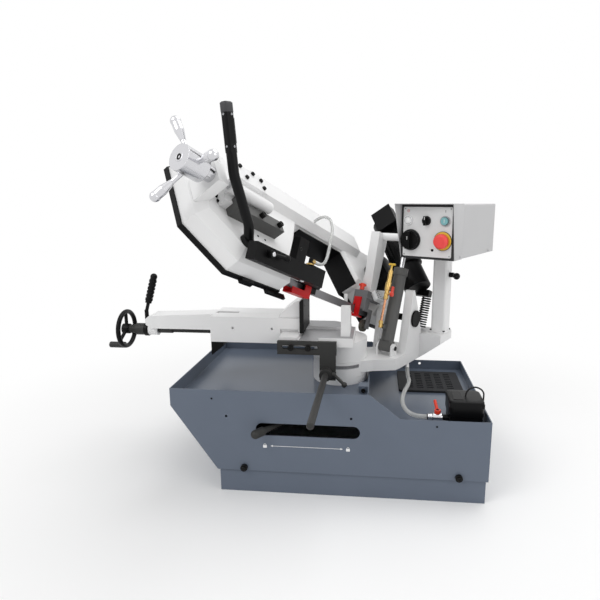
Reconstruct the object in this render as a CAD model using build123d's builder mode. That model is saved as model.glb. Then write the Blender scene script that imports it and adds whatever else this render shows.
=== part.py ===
"""Metal cutting band saw: coolant stand, turntable, screw vise and a tilting bow with a slanted blade."""
import os
from math import atan2, cos, degrees, hypot, pi, radians, sin, sqrt, tan

from build123d import *

os.makedirs("parts", exist_ok=True)

# Clearances between pieces
running = 0.05
gap = 0.3

# Poses in which the saw is stored
mitre_angle = 60
bow_raise = 22
band_tilt = 37

# Stand sheet metal
sheet = 3
tub_left = -508
tub_right = 467
tub_front = -279
tub_back = 297
tub_foot = 75
tray_rim = 338
tank_rim = 266
tray_floor = 294
tank_floor = 230
slope_top = 282
slope_foot = -366
notch_left = 108
notch_right = 199
tray_right = 100
divider_top = 318
tub_flange = 40
plinth_inset = 6
plinth_flange = 70
plinth_flange_thick = 4
anchor_x = 300
anchor_y = 240
anchor_hole = 7
screw_head = 11
screw_head_high = 10

# Turntable
disc_radius = 94
disc_high = 23
column_radius = 50
ring_high = 54.4
shaft_radius = 20
shaft_collar = 28
drum_radius = 92
table_top = 470
table_thick = 30
table_left = -190
table_right = 50
table_front = -135
table_back = 100
blade_relief = 10
corner_clear = 5
lock_lever_high = 216
lock_hub_radius = 32
lock_hub_high = 32
lock_lever_angle = 233.7
lock_lever_reach = 392
lock_slot_middle = -80
lock_slot_length = 320
lock_slot_high = 40

# Vise
bed_left = -440
bed_right = -131
bed_top = 518
bed_bottom = 430
bed_half = 75
bed_slot_half = 12
arm_tip = -686
arm_half = 40
arm_bottom = 462
screw_high = 449
screw_radius = 9
screw_end = -212
jaw_face = -117
jaw_plate_thick = 13.7
jaw_plate_top = 584
jaw_top = 578
handwheel_middle = -777
handwheel_radius = 62
crank_grip_long = 60
lever_grip_top = 640

# Bar stop
stop_rod_x = -36
stop_rod_high = 357
stop_rod_radius = 10
stop_rod_tip = -540

# Coolant pump
pump_left = 352
pump_front = -235
pump_top = 312
hose_diameter = 14
cable_diameter = 5
bow_hose_diameter = 10

# Swivel arm, hinge, console
hinge_back = 205
hinge_high = 488
hinge_radius = 12
arm_low = 331
arm_top = 371
left_ear = 42
right_ear = 152
ear_thick = 20
right_ear_thick = 30
shelf_top = 425
post_h = 232
post_a = 320
post_width = 54
console_left = 158
console_wide = 188
console_front = 136
console_deep = 384
console_low = 714
console_high = 178

# Oil damper
damper_h = 125
damper_foot_a = 101
damper_foot_z = 398
damper_radius = 23
damper_long = 285
rod_radius = 8
rod_eye_radius = 22
rod_eye_half = 9
rod_pin_radius = 7
rod_pin_u = 73
rod_pin_n = 277

# Bow, measured along the blade, across it and off its plane
blade_drop = 12
blade_width = 27
blade_thick = 0.9
tooth_pitch = 7
tooth_deep = 2.5
wheel_radius = 144.5
wheel_margin_low = 24.5
wheel_margin_top = 22
wheel_margin_front = 15
wheel_margin_back = 10
beam_wide = 100
drive_s = 50
idle_s = -720
rim_half = 14
pan_back = 22
pan_wall = 6
pan_front = 50
pan_bevel = 28
rib_front = 74
cover_deep = 13.7
guide_front = -385
guide_rear = -122
guard_thick = 5
motor_radius = 58
motor_s = 60
motor_n = 195
worm_radius = 50
tension_travel = 12
tension_hub_radius = 33
tension_n = 96
handle_radius = 13

# Places on the bow that follow the band wheels
wheel_middle_w = wheel_radius + running + blade_thick / 2
pan_low_w = -blade_thick / 2 - wheel_margin_low - running
pan_top_w = 2 * wheel_middle_w + wheel_margin_top
pan_front_s = idle_s - wheel_middle_w - wheel_margin_front
pan_back_s = drive_s + wheel_middle_w + wheel_margin_back
throat_top_w = pan_top_w - beam_wide

# Frames: world, swivel, bow and the slanted plane of the band wheels
world = Location()
swivel = Location((0, 0, 0), (0, 0, mitre_angle - 90))
bow = swivel * Location((0, hinge_back, hinge_high), (-bow_raise, 0, 0))
band_plane = Plane(
    origin=(0, 0, -blade_drop),
    x_dir=(0, 1, 0),
    z_dir=(cos(radians(band_tilt)), 0, sin(radians(band_tilt))),
)
band = band_plane.location


def block(x, y, z, mode=Mode.ADD, place=world):
    """Box between pairs of coordinates in a frame."""
    centre = Location(((x[0] + x[1]) / 2, (y[0] + y[1]) / 2, (z[0] + z[1]) / 2))
    with Locations(place * centre):
        Box(x[1] - x[0], y[1] - y[0], z[1] - z[0], mode=mode)


def bar(axis, at, radius, ends, mode=Mode.ADD, place=world):
    """Round bar along one axis of a frame, through the two other coordinates."""
    middle = (ends[0] + ends[1]) / 2
    if axis == "x":
        centre = Location((middle, at[0], at[1]), (0, 90, 0))
    elif axis == "y":
        centre = Location((at[0], middle, at[1]), (90, 0, 0))
    else:
        centre = Location((at[0], at[1], middle))
    with Locations(place * centre):
        Cylinder(radius, ends[1] - ends[0], mode=mode)


def strut(start, end, radius, mode=Mode.ADD):
    """Round bar between two points."""
    line = Vector(end) - Vector(start)
    with Locations(Plane(origin=start, z_dir=line)):
        Cylinder(radius, line.length, align=(Align.CENTER, Align.CENTER, Align.MIN), mode=mode)


def taper(start, end, radius, end_radius):
    """Cone between two points."""
    line = Vector(end) - Vector(start)
    with Locations(Plane(origin=start, z_dir=line)):
        Cone(radius, end_radius, line.length, align=(Align.CENTER, Align.CENTER, Align.MIN))


def ball(at, radius):
    """Ball at a point."""
    with Locations(at):
        Sphere(radius)


def save(builder, name, place):
    """Move a finished piece from its frame into the world, name it and write it."""
    piece = builder.part.moved(place)
    piece.label = name
    export_step(piece, f"parts/{name}.step")


def corner_radii(points):
    """Bend radius for each inner corner of a route, from its shorter run and its turn."""
    radii = []
    for before, corner, after in zip(points, points[1:], points[2:]):
        run_in = Vector(*corner) - Vector(*before)
        run_out = Vector(*after) - Vector(*corner)
        half_turn = radians(run_in.get_angle(run_out)) / 2
        radii.append(0.45 * min(run_in.length, run_out.length) / tan(half_turn))
    return radii


def report_cord(name, builder, line, diameter, points):
    """Print a cord's bends and compare its volume with section times length."""
    expected = pi * diameter**2 / 4 * line.length
    bends = [round(radius, 1) for radius in corner_radii(points)]
    share = builder.part.volume / expected
    print(name, "length", round(line.length, 1), "bends", bends, "volume share", share)


# Stand: tub with the chip tray on the left and the coolant tank on the right
tub_inside = (tub_front + sheet, tub_back - sheet)
slope_run = (slope_foot - tub_left) / (slope_top - tub_foot)
hollow_left = tub_left + sheet + slope_run * (slope_top - tub_foot - sheet) + sheet / 4
with BuildPart() as stand_tub:
    with BuildSketch(Plane.XZ.offset(-tub_front)):
        Polygon(
            (tub_left, tray_rim), (tub_left, slope_top), (slope_foot, tub_foot), (tub_right, tub_foot),
            (tub_right, tank_rim), (notch_right, tank_rim), (notch_left, tray_rim), align=None,
        )
    extrude(amount=tub_front - tub_back)
    block((tub_left + sheet, tray_right), tub_inside, (tray_floor, tray_rim), Mode.SUBTRACT)
    block((tray_right + sheet, tub_right - sheet), tub_inside, (tank_floor, tray_rim), Mode.SUBTRACT)
    block((tray_right - sheet, tray_right + 2 * sheet), tub_inside, (divider_top, tray_rim), Mode.SUBTRACT)
    with BuildSketch(Plane.XZ.offset(-tub_front - sheet)):
        Polygon(
            (tub_left + 1.3 * sheet, tray_floor - sheet), (tub_left + 1.3 * sheet, slope_top),
            (hollow_left, tub_foot + sheet), (tub_right - sheet, tub_foot + sheet),
            (tub_right - sheet, tank_floor - sheet), (tray_right, tank_floor - sheet),
            (tray_right, tray_floor - sheet), align=None,
        )
    extrude(amount=tub_front - tub_back + 2 * sheet, mode=Mode.SUBTRACT)
    block(
        (slope_foot + tub_flange, tub_right - tub_flange), (tub_front + tub_flange, tub_back - tub_flange),
        (tub_foot, tub_foot + sheet), Mode.SUBTRACT,
    )
    with BuildSketch(Plane.XZ.offset(-tub_front)):
        with Locations((lock_slot_middle, lock_lever_high)):
            SlotOverall(lock_slot_length, lock_slot_high)
        with Locations((-332, 254), (53, 261)):
            Circle(4)
    extrude(amount=-2 * sheet, mode=Mode.SUBTRACT)
    bar("y", (302, 252), 5, (tub_back - 2 * sheet, tub_back + sheet), Mode.SUBTRACT)
    bar("z", (0, 0), shaft_collar + 2, (tray_floor - 2 * sheet, tray_floor + sheet), Mode.SUBTRACT)
    block((70, tray_right), (-150, -112), (tray_floor, tray_floor + 22))
    bar("y", (85, tray_floor + 11), 7, (-156, -150))
save(stand_tub, "stand_tub", world)

# Stand: plinth with its floor flange and four anchor holes
plinth_x = (slope_foot + plinth_inset, tub_right - plinth_inset)
plinth_y = (tub_front + plinth_inset, tub_back - plinth_inset)
with BuildPart() as stand_plinth:
    block(plinth_x, plinth_y, (0, tub_foot))
    block(
        (plinth_x[0] + sheet, plinth_x[1] - sheet), (plinth_y[0] + sheet, plinth_y[1] - sheet),
        (plinth_flange_thick, tub_foot), Mode.SUBTRACT,
    )
    block(
        (plinth_x[0] + plinth_flange, plinth_x[1] - plinth_flange),
        (plinth_y[0] + plinth_flange, plinth_y[1] - plinth_flange), (0, plinth_flange_thick), Mode.SUBTRACT,
    )
    with GridLocations(2 * anchor_x, 2 * anchor_y, 2, 2):
        Cylinder(anchor_hole, 4 * plinth_flange_thick, mode=Mode.SUBTRACT)
save(stand_plinth, "stand_plinth", world)

with BuildPart() as tank_cover:
    block((209, 438), (32, 238), (tank_floor, tank_floor + 8))
    fillet(tank_cover.edges().filter_by(Axis.Z), 8)
    with Locations((323, 135, tank_floor + 8)):
        with GridLocations(36, 18, 5, 9):
            Box(24, 8, 8, mode=Mode.SUBTRACT)
save(tank_cover, "tank_cover", world)

with BuildPart() as stand_bolts:
    for bolt_x in (-280, 379):
        bar("y", (bolt_x, 86), screw_head, (tub_front - screw_head_high, tub_front))
        bar("y", (bolt_x, 86), screw_head, (tub_back, tub_back + screw_head_high))
    for bolt_x in (-150, -94):
        bar("y", (bolt_x, 440), 5, (table_front - 14, table_front))
        bar("y", (bolt_x, 440), 10, (table_front - 22, table_front - 14))
save(stand_bolts, "stand_bolts", world)

# Turntable: fixed pedestal, its shaft and the lock nut below the lever
disc_top = tray_floor + disc_high
ring_low = disc_top + gap
ring_top = ring_low + ring_high
drum_low = ring_top + gap
lock_hub_top = lock_lever_high + lock_hub_high / 2
lock_hub_low = lock_lever_high - lock_hub_high / 2
with BuildPart() as swivel_pedestal:
    bar("z", (0, 0), disc_radius, (tray_floor, disc_top))
    bar("z", (0, 0), column_radius, (disc_top, drum_low))
    bar("z", (0, 0), shaft_collar, (lock_hub_top + gap, tray_floor))
    bar("z", (0, 0), shaft_radius, (lock_hub_low - gap, lock_hub_top + gap))
    with BuildSketch(Plane.XY.offset(lock_hub_low - gap)):
        RegularPolygon(30, 6)
    extrude(amount=-14)
save(swivel_pedestal, "swivel_pedestal", world)

lever_aim = radians(lock_lever_angle)
with BuildPart() as swivel_lock_lever:
    bar("z", (0, 0), lock_hub_radius, (lock_hub_low, lock_hub_top))
    lever_start = (0, 0, lock_lever_high)
    grip_start = (362 * cos(lever_aim), 362 * sin(lever_aim), lock_lever_high)
    grip_end = (lock_lever_reach * cos(lever_aim), lock_lever_reach * sin(lever_aim), lock_lever_high)
    strut(lever_start, grip_start, 9)
    strut(grip_start, grip_end, 14)
    ball(grip_end, 14)
    bar("z", (0, 0), shaft_radius + running, (lock_hub_low, lock_hub_top), Mode.SUBTRACT)
save(swivel_lock_lever, "swivel_lock_lever", world)

# Saw table: wear plates leave a fan for the blade, and the corner is cut off for the rear guide
relief_half = 12
plate_low = table_top - blade_relief
bed_edge = bed_right + 1
fan_x = 26
fan_y = 48
mitre_sin = sin(radians(90 - mitre_angle))
mitre_cos = cos(radians(90 - mitre_angle))
corner_a = hinge_back + guide_rear - guard_thick - corner_clear
corner_right = (table_right, (corner_a - table_right * mitre_sin) / mitre_cos)
corner_back = ((corner_a - table_back * mitre_cos) / mitre_sin, table_back)
fan_run = corner_a - fan_x * mitre_sin - fan_y * mitre_cos
fan_end = (fan_x + fan_run * mitre_sin, fan_y + fan_run * mitre_cos)
with BuildPart() as table_drum:
    bar("z", (0, 0), drum_radius, (drum_low, table_top - table_thick))
with BuildPart() as saw_table:
    with BuildSketch(Plane.XY.offset(table_top - table_thick)):
        Polygon(
            (table_left, table_front), (table_right, table_front), corner_right, corner_back,
            (table_left, table_back),
            align=None,
        )
    extrude(amount=table_thick - blade_relief)
    with BuildSketch(Plane.XY.offset(plate_low)):
        Polygon(
            (table_left, table_front), (bed_edge, table_front), (bed_edge, table_back),
            (table_left, table_back), align=None,
        )
    extrude(amount=blade_relief)
wear_plates = [
    [
        (bed_edge + gap, relief_half), (0, relief_half), (fan_x, fan_y), fan_end, corner_back,
        (bed_edge + gap, table_back),
    ],
    [
        (relief_half, -relief_half), (-62, table_front), (table_right, table_front),
        (table_right, -relief_half),
    ],
]
plates = []
for outline in wear_plates:
    with BuildPart() as wear_plate:
        with BuildSketch(Plane.XY.offset(plate_low)):
            Polygon(*outline, align=None)
        extrude(amount=blade_relief)
    plates.append(wear_plate.part)
saw_table.part = Compound(children=[saw_table.part, table_drum.part, *plates])
save(saw_table, "saw_table", world)

fixed_face = 8
with BuildPart() as fixed_jaw:
    with BuildSketch(Plane.YZ.offset(fixed_face)):
        Polygon((-112, table_top), (-20, table_top), (-20, 520), (-70, 566), (-92, 566), align=None)
    extrude(amount=30)
    with BuildSketch(Plane.YZ.offset(fixed_face)):
        Polygon((42, table_top), (72, table_top), (60, 580), (50, 580), align=None)
    extrude(amount=12)
save(fixed_jaw, "fixed_jaw", world)

# Vise bed with its arm, the screw bearing and the slot for the jaw's tongue
with BuildPart() as vise_bed:
    block((bed_left, table_left - gap), (-bed_half, bed_half), (bed_bottom, bed_top))
    block((table_left - gap, bed_right), (-bed_half, bed_half), (table_top, bed_top))
    with BuildSketch(Plane.XZ.offset(arm_half)):
        Polygon(
            (bed_left, bed_top), (bed_left, arm_bottom), (arm_tip + 20, arm_bottom),
            (arm_tip, arm_bottom + 13),
            (arm_tip, bed_top - 22), (arm_tip + 14, bed_top - 11), align=None,
        )
    extrude(amount=-2 * arm_half)
    bar("x", (0, screw_high), 20, (arm_tip - 4, arm_tip + 30))
    bar("x", (0, screw_high), screw_radius + running, (arm_tip - 10, bed_left + 1), Mode.SUBTRACT)
    block(
        (bed_left + 2, bed_right), (-bed_slot_half, bed_slot_half),
        (bed_bottom + 6, bed_top), Mode.SUBTRACT,
    )
    bar("x", (0, screw_high), screw_radius + gap, (bed_left - 1, bed_left + 3), Mode.SUBTRACT)
    with Locations(Plane.XZ.offset(bed_half)):
        with Locations((-362, 480), (-227, 480)):
            Cylinder(4, 24, mode=Mode.SUBTRACT)
    with BuildSketch(Plane.XZ.offset(bed_half)):
        with Locations((-168, table_top + 3)):
            Rectangle(62, 14)
    extrude(amount=-10, mode=Mode.SUBTRACT)
save(vise_bed, "vise_bed", world)

with BuildPart() as bed_bracket:
    with BuildSketch(Plane.XZ.offset(bed_half - 3)):
        Polygon(
            (bed_left, bed_bottom), (bed_left, bed_bottom - 49), (bed_left + 42, bed_bottom - 15),
            (bed_left + 42, bed_bottom), align=None,
        )
    extrude(amount=-2 * (bed_half - 3))
save(bed_bracket, "bed_bracket", world)

jaw_back = jaw_face - jaw_plate_thick
nut_x = (-358, -322)
nut_top = screw_high + 31
with BuildPart() as moving_jaw:
    with BuildSketch(Plane.XZ.offset(68)):
        Polygon(
            (-204, bed_top + gap), (jaw_back, bed_top + gap), (jaw_back, jaw_top),
            (jaw_back - 14, jaw_top - 3),
            (-196, bed_top + 16), align=None,
        )
    extrude(amount=-128)
    block((nut_x[0], jaw_back), (-bed_slot_half + gap, bed_slot_half - gap), (nut_top, bed_top + gap))
    block(nut_x, (-bed_slot_half + gap, bed_slot_half - gap), (bed_bottom + 7, nut_top))
    bar("x", (0, screw_high), screw_radius + gap, (nut_x[0] - 1, nut_x[1] + 1), Mode.SUBTRACT)
save(moving_jaw, "moving_jaw", world)

with BuildPart() as jaw_plate:
    block((jaw_back, jaw_face), (-86, 64), (table_top + gap, jaw_plate_top))
    chamfer(jaw_plate.faces().sort_by(Axis.Z)[-1].edges().sort_by(Axis.X)[0], 8)
save(jaw_plate, "jaw_plate", world)

# Vise screw with its collar and the handwheel
with BuildPart() as vise_screw:
    bar("x", (0, screw_high), screw_radius, (handwheel_middle - 8, screw_end))
    bar("x", (0, screw_high), 21, (-738, -706))
    bar("x", (0, screw_high), 15, (-764, -738))
save(vise_screw, "vise_screw", world)

crank_high = screw_high - handwheel_radius
with BuildPart() as vise_handwheel:
    bar("x", (0, screw_high), 18, (handwheel_middle - 12, handwheel_middle + 12))
    for spoke in range(3):
        turn = radians(90 + 120 * spoke)
        reach = handwheel_radius - 4
        tip = (handwheel_middle, reach * cos(turn), screw_high + reach * sin(turn))
        strut((handwheel_middle, 0, screw_high), tip, 6)
    bar("x", (0, crank_high), 5, (handwheel_middle - crank_grip_long - 10, handwheel_middle + 4))
    with BuildSketch(Plane(origin=(handwheel_middle, 0, screw_high), x_dir=(0, 1, 0), z_dir=(0, 0, 1))):
        with Locations((handwheel_radius, 0)):
            Circle(8)
    revolve(axis=Axis((handwheel_middle, 0, screw_high), (1, 0, 0)))
    bar("x", (0, screw_high), screw_radius, (handwheel_middle - 8, handwheel_middle + 13), Mode.SUBTRACT)
save(vise_handwheel, "vise_handwheel", world)

with BuildPart() as crank_grip:
    bar("x", (0, crank_high), 11, (handwheel_middle - crank_grip_long - 9, handwheel_middle - 9))
    fillet(crank_grip.edges(), 4)
    bar(
        "x", (0, crank_high), 5 + running,
        (handwheel_middle - crank_grip_long - 20, handwheel_middle), Mode.SUBTRACT,
    )
save(crank_grip, "crank_grip", world)

quick_x = arm_tip - 12
lever_bend = Vector(quick_x, 0, 515)
grip_top = Vector(quick_x + 36, 0, lever_grip_top)
grip_low = lever_bend + (grip_top - lever_bend) * 0.25
with BuildPart() as quick_lever:
    bar("x", (0, screw_high), 24, (quick_x - 6, quick_x + 6))
    strut((quick_x, 0, screw_high), lever_bend + Vector(0, 0, 5), 7)
    strut(lever_bend, grip_top, 6)
    strut(grip_low, grip_top, 11)
    ball(grip_top, 12)
    for rib in range(6):
        rib_start = grip_low + (grip_top - grip_low) * (0.1 + 0.14 * rib)
        strut(rib_start, rib_start + (grip_top - grip_low) * 0.07, 13)
    bar("x", (0, screw_high), screw_radius + running, (quick_x - 8, quick_x + 8), Mode.SUBTRACT)
save(quick_lever, "quick_lever", world)

# Bar stop on the front of the table
bracket_y = (table_front - 14, table_front)
with BuildPart() as stop_bracket:
    block((-195, -3), bracket_y, (416, plate_low))
    block((-57, -5), bracket_y, (332, 420))
    bar("y", (stop_rod_x, stop_rod_high), 20, (table_front - 40, table_front))
    with BuildSketch(Plane.XZ.offset(-bracket_y[0])):
        with Locations((-122, 440)):
            SlotOverall(118, 12)
    extrude(amount=-20, mode=Mode.SUBTRACT)
    bar(
        "y", (stop_rod_x, stop_rod_high), stop_rod_radius + running,
        (table_front - 50, table_front + 1), Mode.SUBTRACT,
    )
    bar(
        "x", (table_front - 27, stop_rod_high), 4 + running,
        (stop_rod_x + 10, stop_rod_x + 22), Mode.SUBTRACT,
    )
save(stop_bracket, "stop_bracket", world)

with BuildPart() as stop_rod:
    bar("y", (stop_rod_x, stop_rod_high), stop_rod_radius, (stop_rod_tip, table_front + 22))
    chamfer(stop_rod.edges().sort_by(Axis.Y)[0], 2)
save(stop_rod, "stop_rod", world)

clamp_y = table_front - 27
with BuildPart() as stop_clamp_lever:
    bar("x", (clamp_y, stop_rod_high), 4, (stop_rod_x + stop_rod_radius + 1, stop_rod_x + 30))
    bar("x", (clamp_y, stop_rod_high), 9, (stop_rod_x + 20 + gap, stop_rod_x + 34))
    strut((stop_rod_x + 27, clamp_y, stop_rod_high), (stop_rod_x + 62, clamp_y - 30, stop_rod_high - 22), 5)
    ball((stop_rod_x + 62, clamp_y - 30, stop_rod_high - 22), 9)
save(stop_clamp_lever, "stop_clamp_lever", world)

# Coolant pump with its valve, and the free hose and cable
pump_right = pump_left + 96
pump_back = pump_front + 95
valve_y = -212
valve_high = tank_floor + 18
with BuildPart() as pump:
    block((pump_left, pump_right), (pump_front, pump_back), (tank_floor, pump_top - 20))
    block((pump_left - 4, pump_right + 4), (pump_front - 4, pump_back + 4), (pump_top - 20, pump_top - 8))
    block((pump_left + 10, pump_left + 40), (pump_front + 14, pump_back - 14), (pump_top - 8, pump_top))
    bar("x", (valve_y, valve_high), 9, (pump_left - 68, pump_left))
    bar("x", (valve_y, valve_high), 14, (pump_left - 50, pump_left - 22))
    bar("z", (pump_left - 36, valve_y), 5, (valve_high, valve_high + 24))
save(pump, "pump", world)

with BuildPart() as valve_lever:
    bar("z", (pump_left - 36, valve_y), 10, (valve_high + 14 + gap, valve_high + 24))
    strut((pump_left - 36, valve_y, valve_high + 19), (pump_left - 40, valve_y + 40, valve_high + 36), 5)
    ball((pump_left - 40, valve_y + 40, valve_high + 36), 5)
    bar("z", (pump_left - 36, valve_y), 5 + running, (valve_high, valve_high + 40), Mode.SUBTRACT)
save(valve_lever, "valve_lever", world)

hose_points = [
    (pump_left - 68, valve_y, valve_high), (249, valve_y, valve_high), (218, -193, 259), (208, -156, 277),
    (219, -112, 290), (234, -68, 296), (240, -24, 295), (236, 16.6, 297.8), (236, 44, 316),
]
with BuildPart() as coolant_hose:
    with BuildLine() as hose_line:
        FilletPolyline(*hose_points, radius=corner_radii(hose_points))
    with BuildSketch(Plane(origin=hose_points[0], z_dir=(-1, 0, 0))):
        Circle(hose_diameter / 2)
    sweep(path=hose_line.wire())
report_cord("coolant_hose", coolant_hose, hose_line.wire(), hose_diameter, hose_points)
save(coolant_hose, "coolant_hose", world)

cable_points = [
    (402, -188, pump_top - 8), (402, -188, 328), (430, -187, 344), (458, -186, 328), (458, -184, 300),
    (458, -181, 272), (458, -180, 250), (458, -180, tank_floor),
]
with BuildPart() as pump_cable:
    with BuildLine() as cable_line:
        FilletPolyline(*cable_points, radius=corner_radii(cable_points))
    with BuildSketch(Plane(origin=cable_points[0], z_dir=(0, 0, 1))):
        Circle(cable_diameter / 2)
    sweep(path=cable_line.wire())
report_cord("pump_cable", pump_cable, cable_line.wire(), cable_diameter, cable_points)
save(pump_cable, "pump_cable", world)

# Swivel arm: ring on the column, boom, two hinge ears, damper cheeks and the post's shelf
cheek = 7
cheek_inner = damper_radius + 1.5
shelf_h = (150, 264)
shelf_a = (250, 352)
with BuildPart() as swivel_arm:
    bar("z", (0, 0), disc_radius, (ring_low, ring_top))
    with BuildSketch(Plane.XY.offset(arm_low)):
        Polygon(
            (40, -84), (120, 20), (178, 72), (182, 100), (182, 262), (left_ear - 4, 262),
            (left_ear - 4, 150), (-70, 62),
            align=None,
        )
    extrude(amount=arm_top - arm_low)
    bar("z", (0, 0), column_radius + gap, (arm_low - 40, arm_top + 40), Mode.SUBTRACT)
    with BuildSketch(Plane.YZ.offset(left_ear)):
        Polygon(
            (150, arm_top), (258, arm_top), (hinge_back + 30, hinge_high),
            (hinge_back - 30, hinge_high), align=None,
        )
        with Locations((hinge_back, hinge_high)):
            Circle(33)
    extrude(amount=ear_thick)
    with BuildSketch(Plane.YZ.offset(right_ear)):
        Polygon(
            (138, arm_top), (262, arm_top), (262, 430), (238, 500),
            (200, 592), (186, 592), (166, 500), align=None,
        )
    extrude(amount=right_ear_thick)
    for cheek_h in (damper_h - cheek_inner - cheek, damper_h + cheek_inner):
        with BuildSketch(Plane.YZ.offset(cheek_h)):
            Polygon(
                (damper_foot_a - 18, arm_top), (damper_foot_a + 18, arm_top),
                (damper_foot_a + 16, damper_foot_z),
                (damper_foot_a - 16, damper_foot_z), align=None,
            )
            with Locations((damper_foot_a, damper_foot_z)):
                Circle(16)
        extrude(amount=cheek)
    bar(
        "x", (damper_foot_a, damper_foot_z), 7,
        (damper_h - cheek_inner - cheek - 4, damper_h + cheek_inner + cheek + 4),
    )
    block(shelf_h, shelf_a, (shelf_top - 29, shelf_top))
    with BuildSketch(Plane.XZ.offset(-shelf_a[0])):
        Polygon(
            (shelf_h[0], arm_low), (182, arm_low), (shelf_h[1], shelf_top - 29),
            (shelf_h[0], shelf_top - 29), align=None,
        )
    extrude(amount=-60)
    hose_end = swivel.inverse() * Location(hose_points[-1])
    hose_before = swivel.inverse() * Location(hose_points[-2])
    hose_way = (hose_end.position - hose_before.position).normalized()
    strut(hose_end.position, hose_end.position + hose_way * 44, 7)
    bar("x", (hinge_back, hinge_high), hinge_radius + running, (0, 300), Mode.SUBTRACT)
save(swivel_arm, "swivel_arm", swivel)

with BuildPart() as hinge_pin:
    bar("x", (hinge_back, hinge_high), hinge_radius, (left_ear - 2, right_ear + right_ear_thick))
    bar("x", (hinge_back, hinge_high), 30, (right_ear + right_ear_thick, right_ear + right_ear_thick + 7))
save(hinge_pin, "hinge_pin", swivel)

with BuildPart() as console_post:
    with BuildSketch(Plane.XY.offset(shelf_top)):
        with Locations((post_h, post_a)):
            RectangleRounded(post_width, post_width, 8)
    extrude(amount=console_low - shelf_top)
save(console_post, "console_post", swivel)

# Console: sheet box, front panel and its controls
console_h = (console_left, console_left + console_wide)
console_z = (console_low, console_low + console_high)
panel_a = console_front - 6
with BuildPart() as console_box:
    block(console_h, (console_front, console_front + console_deep), console_z)
    fillet(console_box.edges().filter_by(Axis.Y), 4)
    block(
        (console_h[0] + 2, console_h[1] - 2), (console_front, console_front + console_deep - 2),
        (console_z[0] + 2, console_z[1] - 2), Mode.SUBTRACT,
    )
save(console_box, "console_box", swivel)

control_h = [console_left + offset for offset in (26, 92, 156, 37, 150)]
high_row = console_low + 126
low_row = console_low + 62
with BuildPart() as console_panel:
    block(console_h, (panel_a, console_front), console_z)
    block(
        (console_h[0] + 7, console_h[1] - 7), (panel_a - 2, panel_a), (console_z[0] + 7, console_z[1] - 7),
    )
    face_a = panel_a - 2
    bar("y", (control_h[0], high_row), 13, (face_a - 5, face_a))
    bar("y", (control_h[1], high_row), 15, (face_a - 3, face_a))
    bar("y", (control_h[2], high_row), 16, (face_a - 5, face_a))
    bar("y", (control_h[3], low_row), 35, (face_a - 3, face_a))
    bar("y", (control_h[4], low_row), 31, (face_a - 3, face_a))
    for control, high, stem in ((1, high_row, 6), (3, low_row, 8), (2, high_row, 12), (4, low_row, 12)):
        bar("y", (control_h[control], high), stem + running, (face_a - 6, console_front + 1), Mode.SUBTRACT)
save(console_panel, "console_panel", swivel)

with BuildPart() as speed_selector:
    bar("y", (control_h[1], high_row), 6, (face_a - 4, face_a + 4))
    bar("y", (control_h[1], high_row), 13, (face_a - 10, face_a - 3 - gap))
    block((control_h[1] - 4, control_h[1] + 4), (face_a - 20, face_a - 8), (high_row - 15, high_row + 15))
save(speed_selector, "speed_selector", swivel)

with BuildPart() as start_button:
    bar("y", (control_h[2], high_row), 12, (face_a - 11, face_a + 2))
save(start_button, "start_button", swivel)

with BuildPart() as main_switch:
    bar("y", (control_h[3], low_row), 8, (face_a - 4, face_a + 4))
    bar("y", (control_h[3], low_row), 31, (face_a - 16, face_a - 3 - gap))
    block((control_h[3] - 8, control_h[3] + 8), (face_a - 30, face_a - 14), (low_row - 28, low_row + 28))
save(main_switch, "main_switch", swivel)

with BuildPart() as emergency_stop:
    bar("y", (control_h[4], low_row), 12, (face_a - 18, face_a + 2))
    bar("y", (control_h[4], low_row), 24, (face_a - 28, face_a - 12))
    fillet(emergency_stop.edges().sort_by(Axis.Y)[0], 8)
save(emergency_stop, "emergency_stop", swivel)

post_right = post_h + post_width / 2
with BuildPart() as console_lever:
    bar("x", (post_a, 640), 9, (post_right + gap, post_right + 16))
    strut((post_right + 10, post_a, 640), (post_right + 40, post_a - 34, 642), 5)
    ball((post_right + 40, post_a - 34, 642), 12)
save(console_lever, "console_lever", swivel)

# Oil damper: its line runs from the foot pivot to the rod pin on the bow
pin_a = hinge_back - rod_pin_u * cos(radians(bow_raise)) + rod_pin_n * sin(radians(bow_raise))
pin_z = hinge_high + rod_pin_u * sin(radians(bow_raise)) + rod_pin_n * cos(radians(bow_raise))
damper_lean = degrees(atan2(pin_a - damper_foot_a, pin_z - damper_foot_z))
pin_far = hypot(pin_a - damper_foot_a, pin_z - damper_foot_z)
damper = swivel * Location((damper_h, damper_foot_a, damper_foot_z), (-damper_lean, 0, 0))
with BuildPart() as feed_cylinder:
    bar("z", (0, 0), damper_radius, (22, damper_long - 26))
    bar("z", (0, 0), damper_radius + 3, (damper_long - 26, damper_long))
    block((-damper_radius + 1, damper_radius - 1), (-16, 16), (0, 24))
    bar("x", (0, 0), 16, (-damper_radius + 1, damper_radius - 1))
    bar("x", (0, 0), 7 + running, (-40, 40), Mode.SUBTRACT)
    bar("z", (0, 0), rod_radius + running, (60, damper_long + 10), Mode.SUBTRACT)
    block((-14, -2), (-44, -damper_radius + 2), (damper_long - 90, damper_long - 66))
    block((-14, -2), (-44, -damper_radius + 2), (60, 76))
save(feed_cylinder, "feed_cylinder", damper)

valve_at = (-8, -57)
with BuildPart() as needle_valve:
    bar("z", valve_at, 8, (damper_long - 118, damper_long - 22))
    bar("z", valve_at, 10, (damper_long - 92, damper_long - 64))
    bar("y", (-8, damper_long - 78), 5, (-57, -44))
    bar("z", valve_at, 4, (78, damper_long - 118))
    bar("z", valve_at, 6, (60, 78))
    bar("y", (-8, 68), 5, (-57, -44))
    bar("z", valve_at, 4, (damper_long - 22, damper_long - 14))
    bar("x", (-57, damper_long - 104), 4, (-8, 8.2))
save(needle_valve, "needle_valve", damper)

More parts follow.
